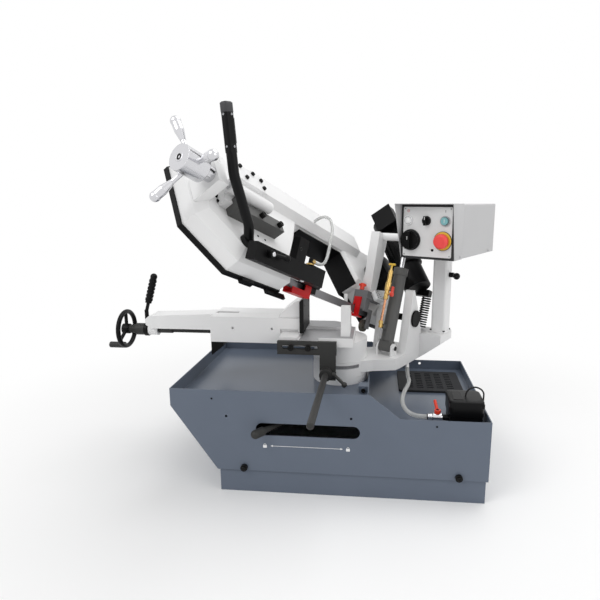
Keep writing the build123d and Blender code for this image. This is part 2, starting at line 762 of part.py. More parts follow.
with BuildPart() as feed_knob:
    bar("z", valve_at, 3.5, (damper_long - 14 + gap, damper_long))
    bar("x", (-57, damper_long), 4, (-18, 2))
    ball((-18, -57, damper_long), 4)
    ball((2, -57, damper_long), 4)
save(feed_knob, "feed_knob", damper)

with BuildPart() as valve_tap:
    bar("x", (-57, damper_long - 104), 9, (8.5, 16))
    block((10, 15), (-63, -51), (damper_long - 112, damper_long - 78))
save(valve_tap, "valve_tap", damper)

with BuildPart() as cylinder_rod:
    bar("z", (0, 0), rod_radius, (110, pin_far - rod_eye_radius + 4))
    with BuildSketch(Plane.YZ.offset(-rod_eye_half)):
        with Locations((0, pin_far)):
            Circle(rod_eye_radius)
            SlotOverall(2 * rod_pin_radius + 18, 2 * rod_pin_radius + 8, rotation=90, mode=Mode.SUBTRACT)
    extrude(amount=2 * rod_eye_half)
save(cylinder_rod, "cylinder_rod", damper)

# Bow frame: a pan over each wheel joined by the beam, open at its back
throat_front_s = -412
throat_back_s = -153
throat_foot_s = -124
throat_foot_w = 82
pan_outline = [
    (idle_s - 42, pan_low_w), (idle_s + 175, pan_low_w), (-480, 100), (throat_front_s, throat_top_w),
    (throat_back_s, throat_top_w), (throat_foot_s, throat_foot_w), (-96, 78), (-76, 48), (-58, 24),
    (-40, -20), (drive_s + 70, -20), (pan_back_s, 70), (pan_back_s, wheel_middle_w + 85),
    (drive_s + 70, pan_top_w), (pan_front_s + 68, pan_top_w), (pan_front_s, pan_top_w - 50),
    (pan_front_s, 75),
]
blade_slot = 16
tension_bracket_s = (pan_front_s + 2, pan_front_s + 34)
rib_start = band_plane.from_local_coords(Vector(-640, 0, 0))
rib_top_w = pan_top_w + 10
rib_plane = Plane(origin=rib_start, x_dir=band_plane.y_dir, z_dir=band_plane.x_dir)
with BuildPart() as bow_frame:
    with BuildSketch(band_plane.offset(-pan_back)):
        Polygon(*pan_outline, align=None)
    extrude(amount=pan_back + pan_front - pan_bevel)
    with BuildSketch(band_plane.offset(pan_front - pan_bevel)):
        Polygon(*pan_outline, align=None)
    extrude(amount=pan_bevel, taper=45)
    with BuildSketch(rib_plane):
        Polygon(
            (pan_top_w - 88, 46), (pan_top_w - 68, rib_front), (pan_top_w + 2, rib_front), (rib_top_w, 66),
            (rib_top_w, 6), (pan_top_w - 3, 6), (pan_top_w - 3, 24), align=None,
        )
    extrude(amount=610)
    with BuildSketch(band_plane.offset(-pan_back)):
        Polygon(*pan_outline, align=None)
        offset(amount=-pan_wall, kind=Kind.INTERSECTION, mode=Mode.REPLACE)
    extrude(amount=2 * pan_back, mode=Mode.SUBTRACT)
    for slot_s in ((-570, -505), (-80, -30)):
        block(slot_s, (-blade_slot, blade_slot), (-pan_back, pan_back - 2), Mode.SUBTRACT, band)
    block(tension_bracket_s, (wheel_middle_w - 33, wheel_middle_w + 33), (28, tension_n + 22), place=band)
    block((-10, 30), (-90, -50), (63, 120))
    with BuildSketch(Plane.YZ.offset(-5)):
        Polygon((-88, 64), (-48, 64), (-rod_pin_u + 28, 284), (-rod_pin_u - 38, 284), align=None)
    extrude(amount=35)
    bar("x", (-rod_pin_u, rod_pin_n), 14, (-5, damper_h - 10))
    bar("x", (-rod_pin_u, rod_pin_n), rod_pin_radius, (damper_h - 12, damper_h + 10))
    lug_h = (left_ear + ear_thick + 0.5, left_ear + ear_thick + 22)
    bar("x", (0, 0), 32, lug_h)
    block(lug_h, (-28, 28), (0, 84))
    block((-18, lug_h[1]), (-20, 44), (58, 84))
    bar("x", (0, 0), hinge_radius + running, (lug_h[0] - 1, lug_h[1] + 1), Mode.SUBTRACT)
    bar("z", (drive_s, wheel_middle_w), 17.5 + running, (0, 60), Mode.SUBTRACT, band)
    bar("z", (idle_s, wheel_middle_w), 16, (0, 60), Mode.SUBTRACT, band)
    bar("z", (idle_s + tension_travel, wheel_middle_w), 16, (0, 60), Mode.SUBTRACT, band)
    block(
        (idle_s, idle_s + tension_travel),
        (wheel_middle_w - 16, wheel_middle_w + 16), (0, 60), Mode.SUBTRACT, band,
    )
    bar(
        "x", (wheel_middle_w, tension_n), screw_radius + running,
        (pan_front_s - 20, pan_front_s + 50), Mode.SUBTRACT, band,
    )
save(bow_frame, "bow_frame", bow)

# Black rear cover with its rim round the throat and the latch tongue
cover_low = -pan_back - gap - cover_deep
with BuildPart() as rear_cover:
    with BuildSketch(band_plane.offset(cover_low)):
        Polygon(*pan_outline, align=None)
        offset(amount=5, kind=Kind.INTERSECTION, mode=Mode.REPLACE)
    extrude(amount=cover_deep)
    with BuildSketch(band_plane.offset(cover_low + sheet)):
        Polygon(*pan_outline, align=None)
        offset(amount=-pan_wall, kind=Kind.INTERSECTION, mode=Mode.REPLACE)
    extrude(amount=cover_deep, mode=Mode.SUBTRACT)
    with BuildSketch(band_plane.offset(cover_low)):
        Polygon(
            (throat_front_s, throat_top_w - gap), (throat_back_s - gap, throat_top_w - gap),
            (throat_foot_s - gap - 0.1, throat_foot_w), (throat_foot_s - 5.6, throat_foot_w),
            (throat_back_s - 4.4, throat_top_w - 5), (throat_front_s + 2, throat_top_w - 5), align=None,
        )
    extrude(amount=44 - cover_low)
    block((-600, -515), (-44, -29), (cover_low, cover_low + 8), place=band)
    block((-705, -660), (-40, -29), (cover_low, cover_low + 16), place=band)
save(rear_cover, "rear_cover", bow)

# Drive: worm gearbox with the tail arm for the spring, motor and terminal box
with BuildPart() as gearbox:
    bar("z", (drive_s, wheel_middle_w), 62, (pan_front, 130), place=band)
    block((15, 105), (90, 120), (110, motor_n), place=band)
    bar("y", (motor_s, motor_n), worm_radius, (20, 120), place=band)
    bar("z", (drive_s, wheel_middle_w), 17.5 + running, (pan_front - 1, 100), Mode.SUBTRACT, band)
    block((100, 174), (95, 125), (105, 129))
    bar("z", (162, 110), 8, (105, 129), Mode.SUBTRACT)
save(gearbox, "gearbox", bow)

motor_fins = 16
with BuildPart() as motor:
    bar("y", (motor_s, motor_n), motor_radius - 6, (120, 330), place=band)
    bar("y", (motor_s, motor_n), motor_radius, (120, 138), place=band)
    bar("y", (motor_s, motor_n), motor_radius, (288, 340), place=band)
    for fin in range(motor_fins):
        fin_turn = Location((motor_s, 213, motor_n), (0, 360 / motor_fins * fin, 0))
        block((motor_radius - 12, motor_radius - 1), (-75, 75), (-1.5, 1.5), place=band * fin_turn)
    block((-30, 14), (271, 346), (178, 254), place=band)
    block((-36, -30), (268, 349), (175, 257), place=band)
save(motor, "motor", bow)

# Fixed blade guide beside the drive wheel
fixed_s = (guide_rear, guide_rear + 29)
brush_at = (-72, -62)
with BuildPart() as fixed_guide:
    block((-14, 40), fixed_s, (-8, 60))
    block((-2, 2), (fixed_s[0] - 1, fixed_s[1] + 1), (-9, 6), Mode.SUBTRACT)
    block((guide_rear, -30), (10, 40), (pan_front, pan_front + 12), place=band)
    block((-78, -34), (4, 44), (pan_front + 12, pan_front + 15), place=band)
    for hole_s in (-68, -56, -44):
        for hole_w in (14, 24, 34):
            bar("z", (hole_s, hole_w), 3, (pan_front + 8, pan_front + 20), Mode.SUBTRACT, band)
    bar("z", (6, guide_rear + 12), 4, (60, 70))
    block((33, 40), (guide_rear, -62), (-14, -2))
    block((33, 40), (-82, -62), (-72, -2))
    bar("x", brush_at, 5, (6, 36))
save(fixed_guide, "fixed_guide", bow)

with BuildPart() as fixed_guide_guard:
    block((-7, 22), (guide_rear - guard_thick, guide_rear), (-38, 34))
    block((-7, 22), (guide_rear - guard_thick, guide_rear + 24), (-38, -38 + guard_thick))
    block((-2.5, 2.5), (guide_rear - guard_thick - 1, guide_rear + 1), (-29, 8), Mode.SUBTRACT)
save(fixed_guide_guard, "fixed_guide_guard", bow)

with BuildPart() as guide_tap:
    bar("z", (6, guide_rear + 12), 8, (62, 86))
    block((-8, 20), (guide_rear + 9, guide_rear + 15), (76, 84))
    bar("z", (6, guide_rear + 12), 4 + running, (61, 70 + gap), Mode.SUBTRACT)
save(guide_tap, "guide_tap", bow)

with BuildPart() as chip_brush:
    bar("x", brush_at, 22, (14, 26))
    bar("x", brush_at, 10, (8, 32))
    bar("x", brush_at, 5 + running, (0, 40), Mode.SUBTRACT)
save(chip_brush, "chip_brush", bow)

# Saw blade: flat on the wheels, turned upright between the guides
loop_outer = wheel_radius + running + blade_thick
loop_inner = wheel_radius + running
upright = 90 - band_tilt
twist_steps = 5
rear_flat = 44
front_flat = -700
front_upright = guide_front - 65
blade_top = -blade_drop + blade_width / 2
blade_low = -blade_drop - blade_width / 2


def blade_section(along, share):
    """Plane across the blade, with its width turned by a share of the way to upright."""
    angle = radians(band_tilt + upright * share)
    return Plane(origin=(0, along, -blade_drop), x_dir=(cos(angle), 0, sin(angle)), z_dir=(0, 1, 0))


tooth_count = int((fixed_s[1] - front_upright) / tooth_pitch)
tooth_line = [(front_upright, blade_low)]
for tooth in range(1, tooth_count):
    tooth_s = front_upright + tooth * tooth_pitch
    tooth_line.append((tooth_s, blade_low))
    tooth_line.append((tooth_s + 0.8, blade_low + tooth_deep))
with BuildPart() as saw_blade:
    for wheel_s, half in ((drive_s, 1), (idle_s, -1)):
        with BuildSketch(band_plane.offset(-blade_width / 2)):
            with Locations((wheel_s, wheel_middle_w)):
                Circle(loop_outer)
                Circle(loop_inner, mode=Mode.SUBTRACT)
            with Locations((wheel_s - half * wheel_radius, wheel_middle_w)):
                Rectangle(2 * wheel_radius, 3 * wheel_radius, mode=Mode.SUBTRACT)
        extrude(amount=blade_width)
    block(
        (idle_s, drive_s), (wheel_middle_w + loop_inner, wheel_middle_w + loop_outer),
        (-blade_width / 2, blade_width / 2), place=band,
    )
    block((idle_s, front_flat), (wheel_middle_w - loop_outer, wheel_middle_w - loop_inner),
          (-blade_width / 2, blade_width / 2), place=band)
    block((rear_flat, drive_s), (wheel_middle_w - loop_outer, wheel_middle_w - loop_inner),
          (-blade_width / 2, blade_width / 2), place=band)
    for step in range(twist_steps + 1):
        rear_s = rear_flat + (fixed_s[1] - rear_flat) * step / twist_steps
        with BuildSketch(blade_section(rear_s, step / twist_steps)):
            Rectangle(blade_width, blade_thick)
    loft(ruled=True)
    for step in range(twist_steps + 1):
        front_s = front_flat + (front_upright - front_flat) * step / twist_steps
        with BuildSketch(blade_section(front_s, step / twist_steps)):
            Rectangle(blade_width, blade_thick)
    loft(ruled=True)
with BuildPart() as cutting_span:
    with BuildSketch(Plane.YZ.offset(-blade_thick / 2)):
        Polygon(
            *tooth_line, (fixed_s[1], blade_low), (fixed_s[1], blade_top),
            (front_upright, blade_top), align=None,
        )
    extrude(amount=blade_thick)
saw_blade.part = Compound(children=[saw_blade.part, cutting_span.part])
save(saw_blade, "saw_blade", bow)


def band_wheel(along, shaft, shaft_end):
    """Flanged band wheel with a dished web and its shaft towards the front."""
    bar("z", (along, wheel_middle_w), wheel_radius, (-rim_half, rim_half), place=band)
    for side in (-1, 1):
        recess = sorted((side * 4, side * (rim_half + 1)))
        bar("z", (along, wheel_middle_w), wheel_radius - 14, recess, Mode.SUBTRACT, band)
    bar("z", (along, wheel_middle_w), 34, (-rim_half, rim_half), place=band)
    for hole in range(5):
        turn = radians(72 * hole)
        at = (along + 82 * cos(turn), wheel_middle_w + 82 * sin(turn))
        bar("z", at, 24, (-rim_half, rim_half), Mode.SUBTRACT, band)
    bar("z", (along, wheel_middle_w), shaft, (-rim_half - 3, shaft_end), place=band)


with BuildPart() as drive_wheel:
    band_wheel(drive_s, 17.5, 98)
save(drive_wheel, "drive_wheel", bow)

with BuildPart() as idle_wheel:
    band_wheel(idle_s, 15, 74)
save(idle_wheel, "idle_wheel", bow)

# Blade tension: sliding housing between gibs, its screw and the star wheel
housing_low = pan_front + gap
housing_s = (idle_s - 95, idle_s + 65)
housing_w = (wheel_middle_w - 33, wheel_middle_w + 105)
step_n = 76
with BuildPart() as tension_housing:
    block(housing_s, housing_w, (housing_low, step_n - gap), place=band)
    block(housing_s, (housing_w[0] + 24, housing_w[1]), (step_n - gap, 94), place=band)
    block((idle_s - 50, housing_s[1]), (housing_w[0] + 78, housing_w[1]), (94, 106), place=band)
    bar("x", (wheel_middle_w, tension_n), 17, housing_s, place=band)
    bar("z", (idle_s, wheel_middle_w), 15 + running, (housing_low - 1, 75), Mode.SUBTRACT, band)
    bar(
        "x", (wheel_middle_w, tension_n), screw_radius + gap,
        (housing_s[0] - 1, idle_s + 40), Mode.SUBTRACT, band,
    )
save(tension_housing, "tension_housing", bow)

gib_s = (idle_s - 70, idle_s + 120)
upper_gib_s = (idle_s - 80, housing_s[1])
with BuildPart() as gib_plate:
    block(gib_s, (housing_w[0] - 22, housing_w[0] - gap), (pan_front, step_n), place=band)
    block(gib_s, (housing_w[0] - 22, housing_w[0] + 14), (step_n, step_n + 12), place=band)
    block(upper_gib_s, (housing_w[1] + gap, housing_w[1] + 18), (pan_front, 66), place=band)
save(gib_plate, "gib_plate", bow)

with BuildPart() as bow_bolts:
    for bolt_s in (idle_s - 50, idle_s + 25, idle_s + 100):
        bar("z", (bolt_s, housing_w[0] - 8), 8, (step_n + 12, step_n + 22), place=band)
    for bolt_s in (idle_s - 60, idle_s - 8, idle_s + 44):
        bar("z", (bolt_s, housing_w[1] + 9), 8, (66, 78), place=band)
save(bow_bolts, "bow_bolts", bow)

tension_hub_s = (pan_front_s - 94, pan_front_s - 28)
spoke_radius = 6
knob_radius = 12
with BuildPart() as tension_wheel:
    bar("x", (wheel_middle_w, tension_n), tension_hub_radius, tension_hub_s, place=band)
    bar("x", (wheel_middle_w, tension_n), 20, (tension_hub_s[1], tension_bracket_s[0] - gap), place=band)
    bar("x", (wheel_middle_w, tension_n), screw_radius, (pan_front_s - 10, idle_s + 16), place=band)
    for spoke in range(3):
        spoke_turn = radians(127 + 120 * spoke)
        spoke_at = []
        for behind, reach in ((36, 12), (20, 60), (12, 84), (4, 108)):
            along = tension_hub_s[0] + behind
            across = wheel_middle_w + reach * cos(spoke_turn)
            off = tension_n + reach * sin(spoke_turn)
            spoke_at.append(band_plane.from_local_coords(Vector(along, across, off)))
        strut(spoke_at[0], spoke_at[1], spoke_radius)
        taper(spoke_at[1], spoke_at[2], spoke_radius + 1, knob_radius)
        strut(spoke_at[2], spoke_at[3], knob_radius)
        ball(spoke_at[3], knob_radius + 1)
save(tension_wheel, "tension_wheel", bow)

# Movable blade guide on its arm
arm_h = (64, 94)
head_s = (guide_front - 65, guide_front)
fitting_at = (54, -500)
with BuildPart() as guide_arm:
    block(arm_h, (-772, -472), (-12, 34))
    block((64, 90), (-612, -572), (30, 98))
    with BuildSketch(Plane.XY.offset(-4)):
        Polygon(
            (94, -540), (94, -472), (22, head_s[1]), (-16, head_s[1]),
            (-16, head_s[0]), (64, -540), align=None,
        )
    extrude(amount=44)
    block((-15, 15), (head_s[0] + 6, head_s[1] - 6), (-22, -4))
    block((-1.5, 1.5), (head_s[0] - 1, head_s[1] + 1), (-23, 4), Mode.SUBTRACT)
    block((-4, 4), (head_s[0] - 40, head_s[0]), (-5, 6), Mode.SUBTRACT)
    bar("z", fitting_at, 7, (40, 67))
    bar("y", (fitting_at[0], 60), 6, (fitting_at[1], fitting_at[1] + 16))
    bar("x", (-722, 16), 5, (90, 108))
save(guide_arm, "guide_arm", bow)

guard_s = (head_s[0] - 60, head_s[0] + 30)
with BuildPart() as front_guide_guard:
    block((-18, 18), guard_s, (-42, -22 - gap))
    block((-15.3, 15.3), (guard_s[0] - 1, guard_s[1] + 1), (-39, -22), Mode.SUBTRACT)
    for side in (-1, 1):
        wall = sorted((side * 15.3, side * 18))
        block(wall, (head_s[0], guard_s[1]), (-22 - gap, -4))
save(front_guide_guard, "front_guide_guard", bow)

with BuildPart() as guide_clamp_lever:
    bar("x", (-722, 16), 10, (94 + gap, 108))
    strut((101, -722, 16), (112, -672, 20), 5)
    ball((112, -672, 20), 9)
    bar("x", (-722, 16), 5 + running, (80, 120), Mode.SUBTRACT)
save(guide_clamp_lever, "guide_clamp_lever", bow)

# Pull handle bent up from the front pan, with its trigger
handle_bend = [(34, -745, 42.5), (50, -772, 72), (38, -848, 172), (34, -878, 236)]
grip_wide = 22
grip_deep = 26
grip_foot = Vector(35, -870, 219)
grip_head = Vector(31.6, -921, 323)
grip_line = Plane(origin=grip_foot, x_dir=(1, 0, 0), z_dir=grip_head - grip_foot)
grip_long = (grip_head - grip_foot).length
with BuildPart() as pull_handle:
    with BuildLine() as handle_line:
        FilletPolyline(*handle_bend, radius=(24, 90))
    with BuildSketch(Plane(origin=handle_bend[0], z_dir=Vector(*handle_bend[1]) - Vector(*handle_bend[0]))):
        Circle(handle_radius)
    sweep(path=handle_line.wire())
    bar("z", (-745, 23), 20, (pan_front, pan_front + 13), place=band)
    with BuildSketch(grip_line):
        RectangleRounded(grip_wide, grip_deep, 7)
    extrude(amount=grip_long)
    fillet(pull_handle.faces().sort_by(Axis.Z)[-1].edges(), 5)
    block((-4, 4), (6, grip_deep), (20, 82), Mode.SUBTRACT, grip_line.location)
save(pull_handle, "pull_handle", bow)

trigger_travel = 4
with BuildPart() as trigger:
    block((-3.5, 3.5), (6 + trigger_travel + gap, grip_deep / 2 + 5), (22, 80), place=grip_line.location)
save(trigger, "trigger", bow)

# Return spring between the shelf and the tail arm
spring_turns = 13
spring_radius = 16
wire_radius = 2.2
spring_foot = Vector(162, 300, shelf_top + 4.5)
tail_u = -110
tail_n = 104
tail_a = hinge_back - tail_u * cos(radians(bow_raise)) + tail_n * sin(radians(bow_raise))
tail_z = hinge_high + tail_u * sin(radians(bow_raise)) + tail_n * cos(radians(bow_raise))
spring_line = Vector(162, tail_a, tail_z) - spring_foot
spring_plane = Plane(origin=spring_foot, x_dir=(1, 0, 0), z_dir=spring_line)
coil_long = spring_line.length - 2 * wire_radius
half_turns = 2 * spring_turns


def coil_point(turn):
    """Point of the coil after a number of half turns, and its direction there."""
    angle = pi * turn
    rise = coil_long / half_turns
    at = Vector(spring_radius * cos(angle), spring_radius * sin(angle), wire_radius + rise * turn)
    along = Vector(-spring_radius * pi * sin(angle), spring_radius * pi * cos(angle), rise)
    return at, along.normalized()


with BuildPart() as return_spring:
    with BuildLine() as spring_wire:
        for turn in range(half_turns):
            start, start_way = coil_point(turn)
            end, end_way = coil_point(turn + 1)
            chord = end - start
            both = start_way + end_way
            bend = 2 * (1 - start_way.dot(end_way))
            reach = (sqrt(chord.dot(both) ** 2 + bend * chord.dot(chord)) - chord.dot(both)) / bend
            joint = (start + end + (start_way - end_way) * reach) * 0.5
            joint_way = end - end_way * reach - start - start_way * reach
            TangentArc(start, joint, tangent=start_way)
            TangentArc(joint, end, tangent=joint_way)
    with BuildSketch(Plane(origin=coil_point(0)[0], z_dir=coil_point(0)[1])):
        Circle(wire_radius)
    sweep(path=spring_wire.wire())
turn_gap = coil_long / spring_turns - 2 * wire_radius
print("return_spring least gap", turn_gap, "volume", return_spring.part.volume)
save(return_spring, "return_spring", swivel * spring_plane.location)

# Coolant hose from the guide head up over the beam
hose_foot = band_plane.from_local_coords(Vector(-340, pan_top_w - 57, rib_front))
hose_rise = band_plane.from_local_coords(Vector(-340, pan_top_w - 57, rib_front + 24))
bow_hose_points = [
    (fitting_at[0], fitting_at[1] + 16, 60), (54, -456, 60), (49, -426, 72), (37, -402, 98), (22, -382, 134),
    (8, -364, 174), (-6, -350, 212), (-25.5, -345, 242), (-49, -342, 253), tuple(hose_rise), tuple(hose_foot),
]
with BuildPart() as bow_hose:
    with BuildLine() as bow_hose_line:
        FilletPolyline(*bow_hose_points, radius=corner_radii(bow_hose_points))
    with BuildSketch(Plane(origin=bow_hose_points[0], z_dir=(0, 1, 0))):
        Circle(bow_hose_diameter / 2)
    sweep(path=bow_hose_line.wire())
report_cord("bow_hose", bow_hose, bow_hose_line.wire(), bow_hose_diameter, bow_hose_points)
save(bow_hose, "bow_hose", bow)
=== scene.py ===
"""Looks of a metal cutting band saw: finishes for its solids, and the detail pieces that ride on them."""
import logging
from collections.abc import Callable, Iterable, Sequence
from dataclasses import dataclass, field
from enum import Enum
from itertools import product
from math import atan2, cos, pi, radians, sin

import bpy
from mathutils import Matrix, Vector


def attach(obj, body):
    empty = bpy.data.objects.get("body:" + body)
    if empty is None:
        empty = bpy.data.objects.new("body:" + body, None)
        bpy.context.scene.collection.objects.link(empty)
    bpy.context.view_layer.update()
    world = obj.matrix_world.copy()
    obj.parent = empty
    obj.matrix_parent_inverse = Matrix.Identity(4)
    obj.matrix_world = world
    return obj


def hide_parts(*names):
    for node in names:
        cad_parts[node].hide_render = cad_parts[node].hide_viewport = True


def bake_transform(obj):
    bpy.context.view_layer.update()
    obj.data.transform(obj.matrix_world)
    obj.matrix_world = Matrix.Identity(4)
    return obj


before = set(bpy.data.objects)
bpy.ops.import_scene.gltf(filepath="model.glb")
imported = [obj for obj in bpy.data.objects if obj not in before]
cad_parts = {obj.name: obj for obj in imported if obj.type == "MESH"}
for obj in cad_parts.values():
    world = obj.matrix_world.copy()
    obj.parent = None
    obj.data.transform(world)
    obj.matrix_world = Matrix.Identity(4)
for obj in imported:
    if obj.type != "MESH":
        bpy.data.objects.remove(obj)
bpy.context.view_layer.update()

LOG = logging.getLogger("band_saw")
MM = 0.001

Point = tuple[float, float, float]
Corners = tuple[Point, Point]
FaceTest = Callable[[Vector, Vector], bool]
FACING = 0.9
PARALLEL = 0.99

SWIVEL = Matrix.Rotation(radians(-30), 4, "Z")
BOW = SWIVEL @ Matrix.Translation((0, 0.205, 0.488)) @ Matrix.Rotation(radians(-22), 4, "X")
BAND_TILT = radians(37)
BAND = BOW @ Matrix(
    (
        (0, -sin(BAND_TILT), cos(BAND_TILT), 0),
        (1, 0, 0, 0),
        (0, cos(BAND_TILT), sin(BAND_TILT), -0.012),
        (0, 0, 0, 1),
    )
)
DAMPER = SWIVEL @ Matrix.Translation((0.125, 0.101, 0.398)) @ Matrix.Rotation(radians(-20.52), 4, "X")
WORLD = Matrix.Identity(4)


class Way(Enum):
    """Directions in a frame."""

    UP = (0, 0, 1)
    DOWN = (0, 0, -1)
    FRONT = (0, -1, 0)
    BACK = (0, 1, 0)
    LEFT = (-1, 0, 0)
    RIGHT = (1, 0, 0)


Heading = Way | Point


def heading(way: Heading) -> Vector:
    """Give a named or a free direction as a vector."""
    return Vector(way.value if isinstance(way, Way) else way)


def linear(colour: Sequence[int], gain: float = 1.0) -> tuple[float, float, float, float]:
    """Turn a colour of 0 to 255 into shader values.

    Args:
        colour: red, green and blue as seen on a screen.
        gain: factor on the light that it reflects.

    Returns:
        Four linear values with full alpha.
    """
    steps = [channel / 255 for channel in colour]
    bent = [s / 12.92 if s <= 0.04045 else ((s + 0.055) / 1.055) ** 2.4 for s in steps]
    return (*(min(1.0, b * gain) for b in bent), 1.0)


def add_node(
    tree: bpy.types.NodeTree, kind: str, settings: dict[str, object] | None = None, **modes: object
) -> bpy.types.Node:
    """Add a shader node, set its modes and then its inputs.

    Args:
        tree: node tree that gets it.
        kind: the node's type, without the prefix that all types share.
        settings: values by input name.
        modes: attributes that choose what the node does.

    Returns:
        The node.
    """
    node = tree.nodes.new(f"ShaderNode{kind}")
    for name, value in modes.items():
        setattr(node, name, value)
    for name, value in (settings or {}).items():
        node.inputs[name].default_value = value
    return node


@dataclass(frozen=True)
class Finish:
    """A paint, plastic or metal with its grain, patches, worn edges and gloss."""

    name: str
    colour: tuple[int, int, int]
    roughness: float = 0.4
    metallic: float = 0.0
    grain: float = 500.0
    bump: float = 0.12
    patches: float = 0.08
    wear: float = 0.35
    worn: tuple[int, int, int] = (205, 206, 208)
    edge: float = 0.0016
    coat: float = 0.0
    specular: float = 0.5
    streak: Point = (1, 1, 1)
    clear: bool = False
    slot: str = ""

    def material(self) -> bpy.types.Material:
        """Make this finish's node material once and hand it out after that.

        Returns:
            The material.
        """
        title = f"{self.name}_finish"
        made = bpy.data.materials.get(title)
        if made:
            return made
        made = bpy.data.materials.new(title)
        made.use_nodes = True
        made.diffuse_color = linear(self.colour)
        settings = {
            "Metallic": self.metallic, "Specular IOR Level": self.specular, "Coat Weight": self.coat,
            "Coat Roughness": 0.12,
        }
        if self.clear:
            settings |= {"Transmission Weight": 0.55, "IOR": 1.38}
        shader = made.node_tree.nodes["Principled BSDF"]
        for name, value in settings.items():
            shader.inputs[name].default_value = value
        self._weave(made.node_tree, shader)
        return made

    def _weave(self, tree: bpy.types.NodeTree, shader: bpy.types.Node) -> None:
        """Link patches, grain and worn edges to the shader.

        Args:
            tree: the material's node tree.
            shader: its principled shader.
        """
        links = tree.links
        place = add_node(tree, "TexCoord").outputs["Object"]
        stretch = add_node(tree, "Mapping", {"Scale": self.streak})
        links.new(place, stretch.inputs["Vector"])
        fine = add_node(tree, "TexNoise", {"Scale": self.grain, "Detail": 4})
        links.new(stretch.outputs["Vector"], fine.inputs["Vector"])
        grain = fine.outputs["Fac"]

        broad = add_node(tree, "TexNoise", {"Scale": 7, "Detail": 3})
        links.new(place, broad.inputs["Vector"])
        shades = {"A": linear(self.colour, 1 - self.patches), "B": linear(self.colour, 1 + self.patches)}
        tone = add_node(tree, "Mix", shades, data_type="RGBA")
        links.new(broad.outputs["Fac"], tone.inputs["Factor"])

        rounded = add_node(tree, "Bevel", {"Radius": self.edge}, samples=4).outputs["Normal"]
        facing = add_node(tree, "VectorMath", operation="DOT_PRODUCT")
        links.new(rounded, facing.inputs[0])
        links.new(add_node(tree, "NewGeometry").outputs["Normal"], facing.inputs[1])
        rim = add_node(tree, "MapRange", {"From Min": 0.99, "From Max": 0.8, "To Max": self.wear})
        links.new(facing.outputs["Value"], rim.inputs["Value"])
        broken = add_node(tree, "Math", operation="MULTIPLY")
        links.new(rim.outputs["Result"], broken.inputs[0])
        links.new(grain, broken.inputs[1])
        edge = add_node(tree, "Mix", {"B": linear(self.worn)}, data_type="RGBA")
        links.new(broken.outputs["Value"], edge.inputs["Factor"])
        links.new(tone.outputs["Result"], edge.inputs["A"])
        links.new(edge.outputs["Result"], shader.inputs["Base Color"])

        spread = min(0.07, 0.6 * self.bump)
        least, most = max(0.02, self.roughness - spread), self.roughness + spread
        gloss = add_node(tree, "MapRange", {"To Min": least, "To Max": most})
        links.new(grain, gloss.inputs["Value"])
        links.new(gloss.outputs["Result"], shader.inputs["Roughness"])
        relief = add_node(tree, "Bump", {"Strength": self.bump, "Distance": 0.0006})
        links.new(grain, relief.inputs["Height"])
        links.new(rounded, relief.inputs["Normal"])
        links.new(relief.outputs["Normal"], shader.inputs["Normal"])


STAND_PAINT = Finish(
    "stand_paint", (99, 108, 122), roughness=0.26, grain=260, bump=0.012, patches=0.05, wear=0.25,
    worn=(150, 156, 168), specular=0.28,
)
CASTING = Finish(
    "casting_paint", (233, 233, 233), grain=420, bump=0.16, patches=0.03, wear=0.15, worn=(246, 246, 246),
)
CONSOLE_PAINT = Finish("console_paint", (190, 190, 191), roughness=0.45, grain=900, patches=0.03)
PANEL_PLATE = Finish("panel_plate", (222, 222, 222), grain=1500, patches=0.03)
PANEL_FRAME = Finish(
    "panel_frame", (44, 44, 46), roughness=0.55, patches=0.06, wear=0.15, specular=0.3,
    slot="black_plastic",
)
TANK_GRATE = Finish(
    "tank_grate", (34, 35, 38), roughness=0.6, patches=0.1, wear=0.15, specular=0.15,
    slot="black_plastic",
)
BLACK_PAINT = Finish("black_paint", (12, 12, 13), grain=380, wear=0.3, worn=(60, 60, 62), specular=0.12)
DARK_METAL = Finish(
    "dark_metal", (86, 86, 85), roughness=0.48, grain=420, bump=0.16, worn=(130, 130, 130), specular=0.35,
)
IRON = Finish(
    "iron", (48, 48, 47), roughness=0.5, grain=420, bump=0.18, worn=(110, 110, 110), specular=0.3,
    slot="dark_metal",
)
# Darker copy of IRON for the jaw plate: its own dark iron plus painted shade of the gap under the moving jaw.
JAW_SHADE_IRON = Finish(
    "jaw_shade_iron", (20, 20, 20), roughness=0.5, grain=420, bump=0.18, worn=(96, 96, 96), specular=0.15,
    slot="dark_metal",
)
BOLT_BLACK = Finish(
    "bolt_black", (16, 16, 16), roughness=0.38, metallic=0.2, wear=0.4, worn=(90, 88, 86), edge=0.0008,
    specular=0.2,
)
BLACK_PLASTIC = Finish(
    "black_plastic", (13, 13, 14), roughness=0.36, grain=1300, bump=0.08, wear=0.3, worn=(60, 60, 62),
    specular=0.14,
)
CAP_GREY = Finish(
    "cap_grey", (66, 66, 68), roughness=0.5, patches=0.05, wear=0.2, specular=0.3, slot="black_plastic",
)
BRIGHT_STEEL = Finish(
    "bright_steel", (168, 169, 172), roughness=0.34, metallic=0.9, grain=120, bump=0.05,
    streak=(1, 14, 14), wear=0.3,
)
BLADE_STEEL = Finish(
    "blade_steel", (132, 132, 135), roughness=0.34, metallic=0.7, grain=90, bump=0.05, streak=(14, 14, 1),
    wear=0.0, slot="bright_steel",
)
POLISHED = Finish(
    "polished", (212, 212, 215), roughness=0.2, metallic=1.0, grain=240, bump=0.03, patches=0.05,
    wear=0.3, worn=(240, 240, 240),
)
GUARD_RED = Finish(
    "guard_red", (200, 6, 14), roughness=0.35, grain=420, specular=0.25, worn=(214, 64, 60),
)
VALVE_BRASS = Finish(
    "valve_brass", (206, 172, 104), roughness=0.28, metallic=0.85, grain=200, bump=0.05,
    worn=(240, 214, 146),
)
COPPER_PIPE = Finish(
    "copper_pipe", (204, 148, 114), roughness=0.26, metallic=0.85, grain=180, bump=0.04,
    worn=(230, 184, 154), slot="valve_brass",
)
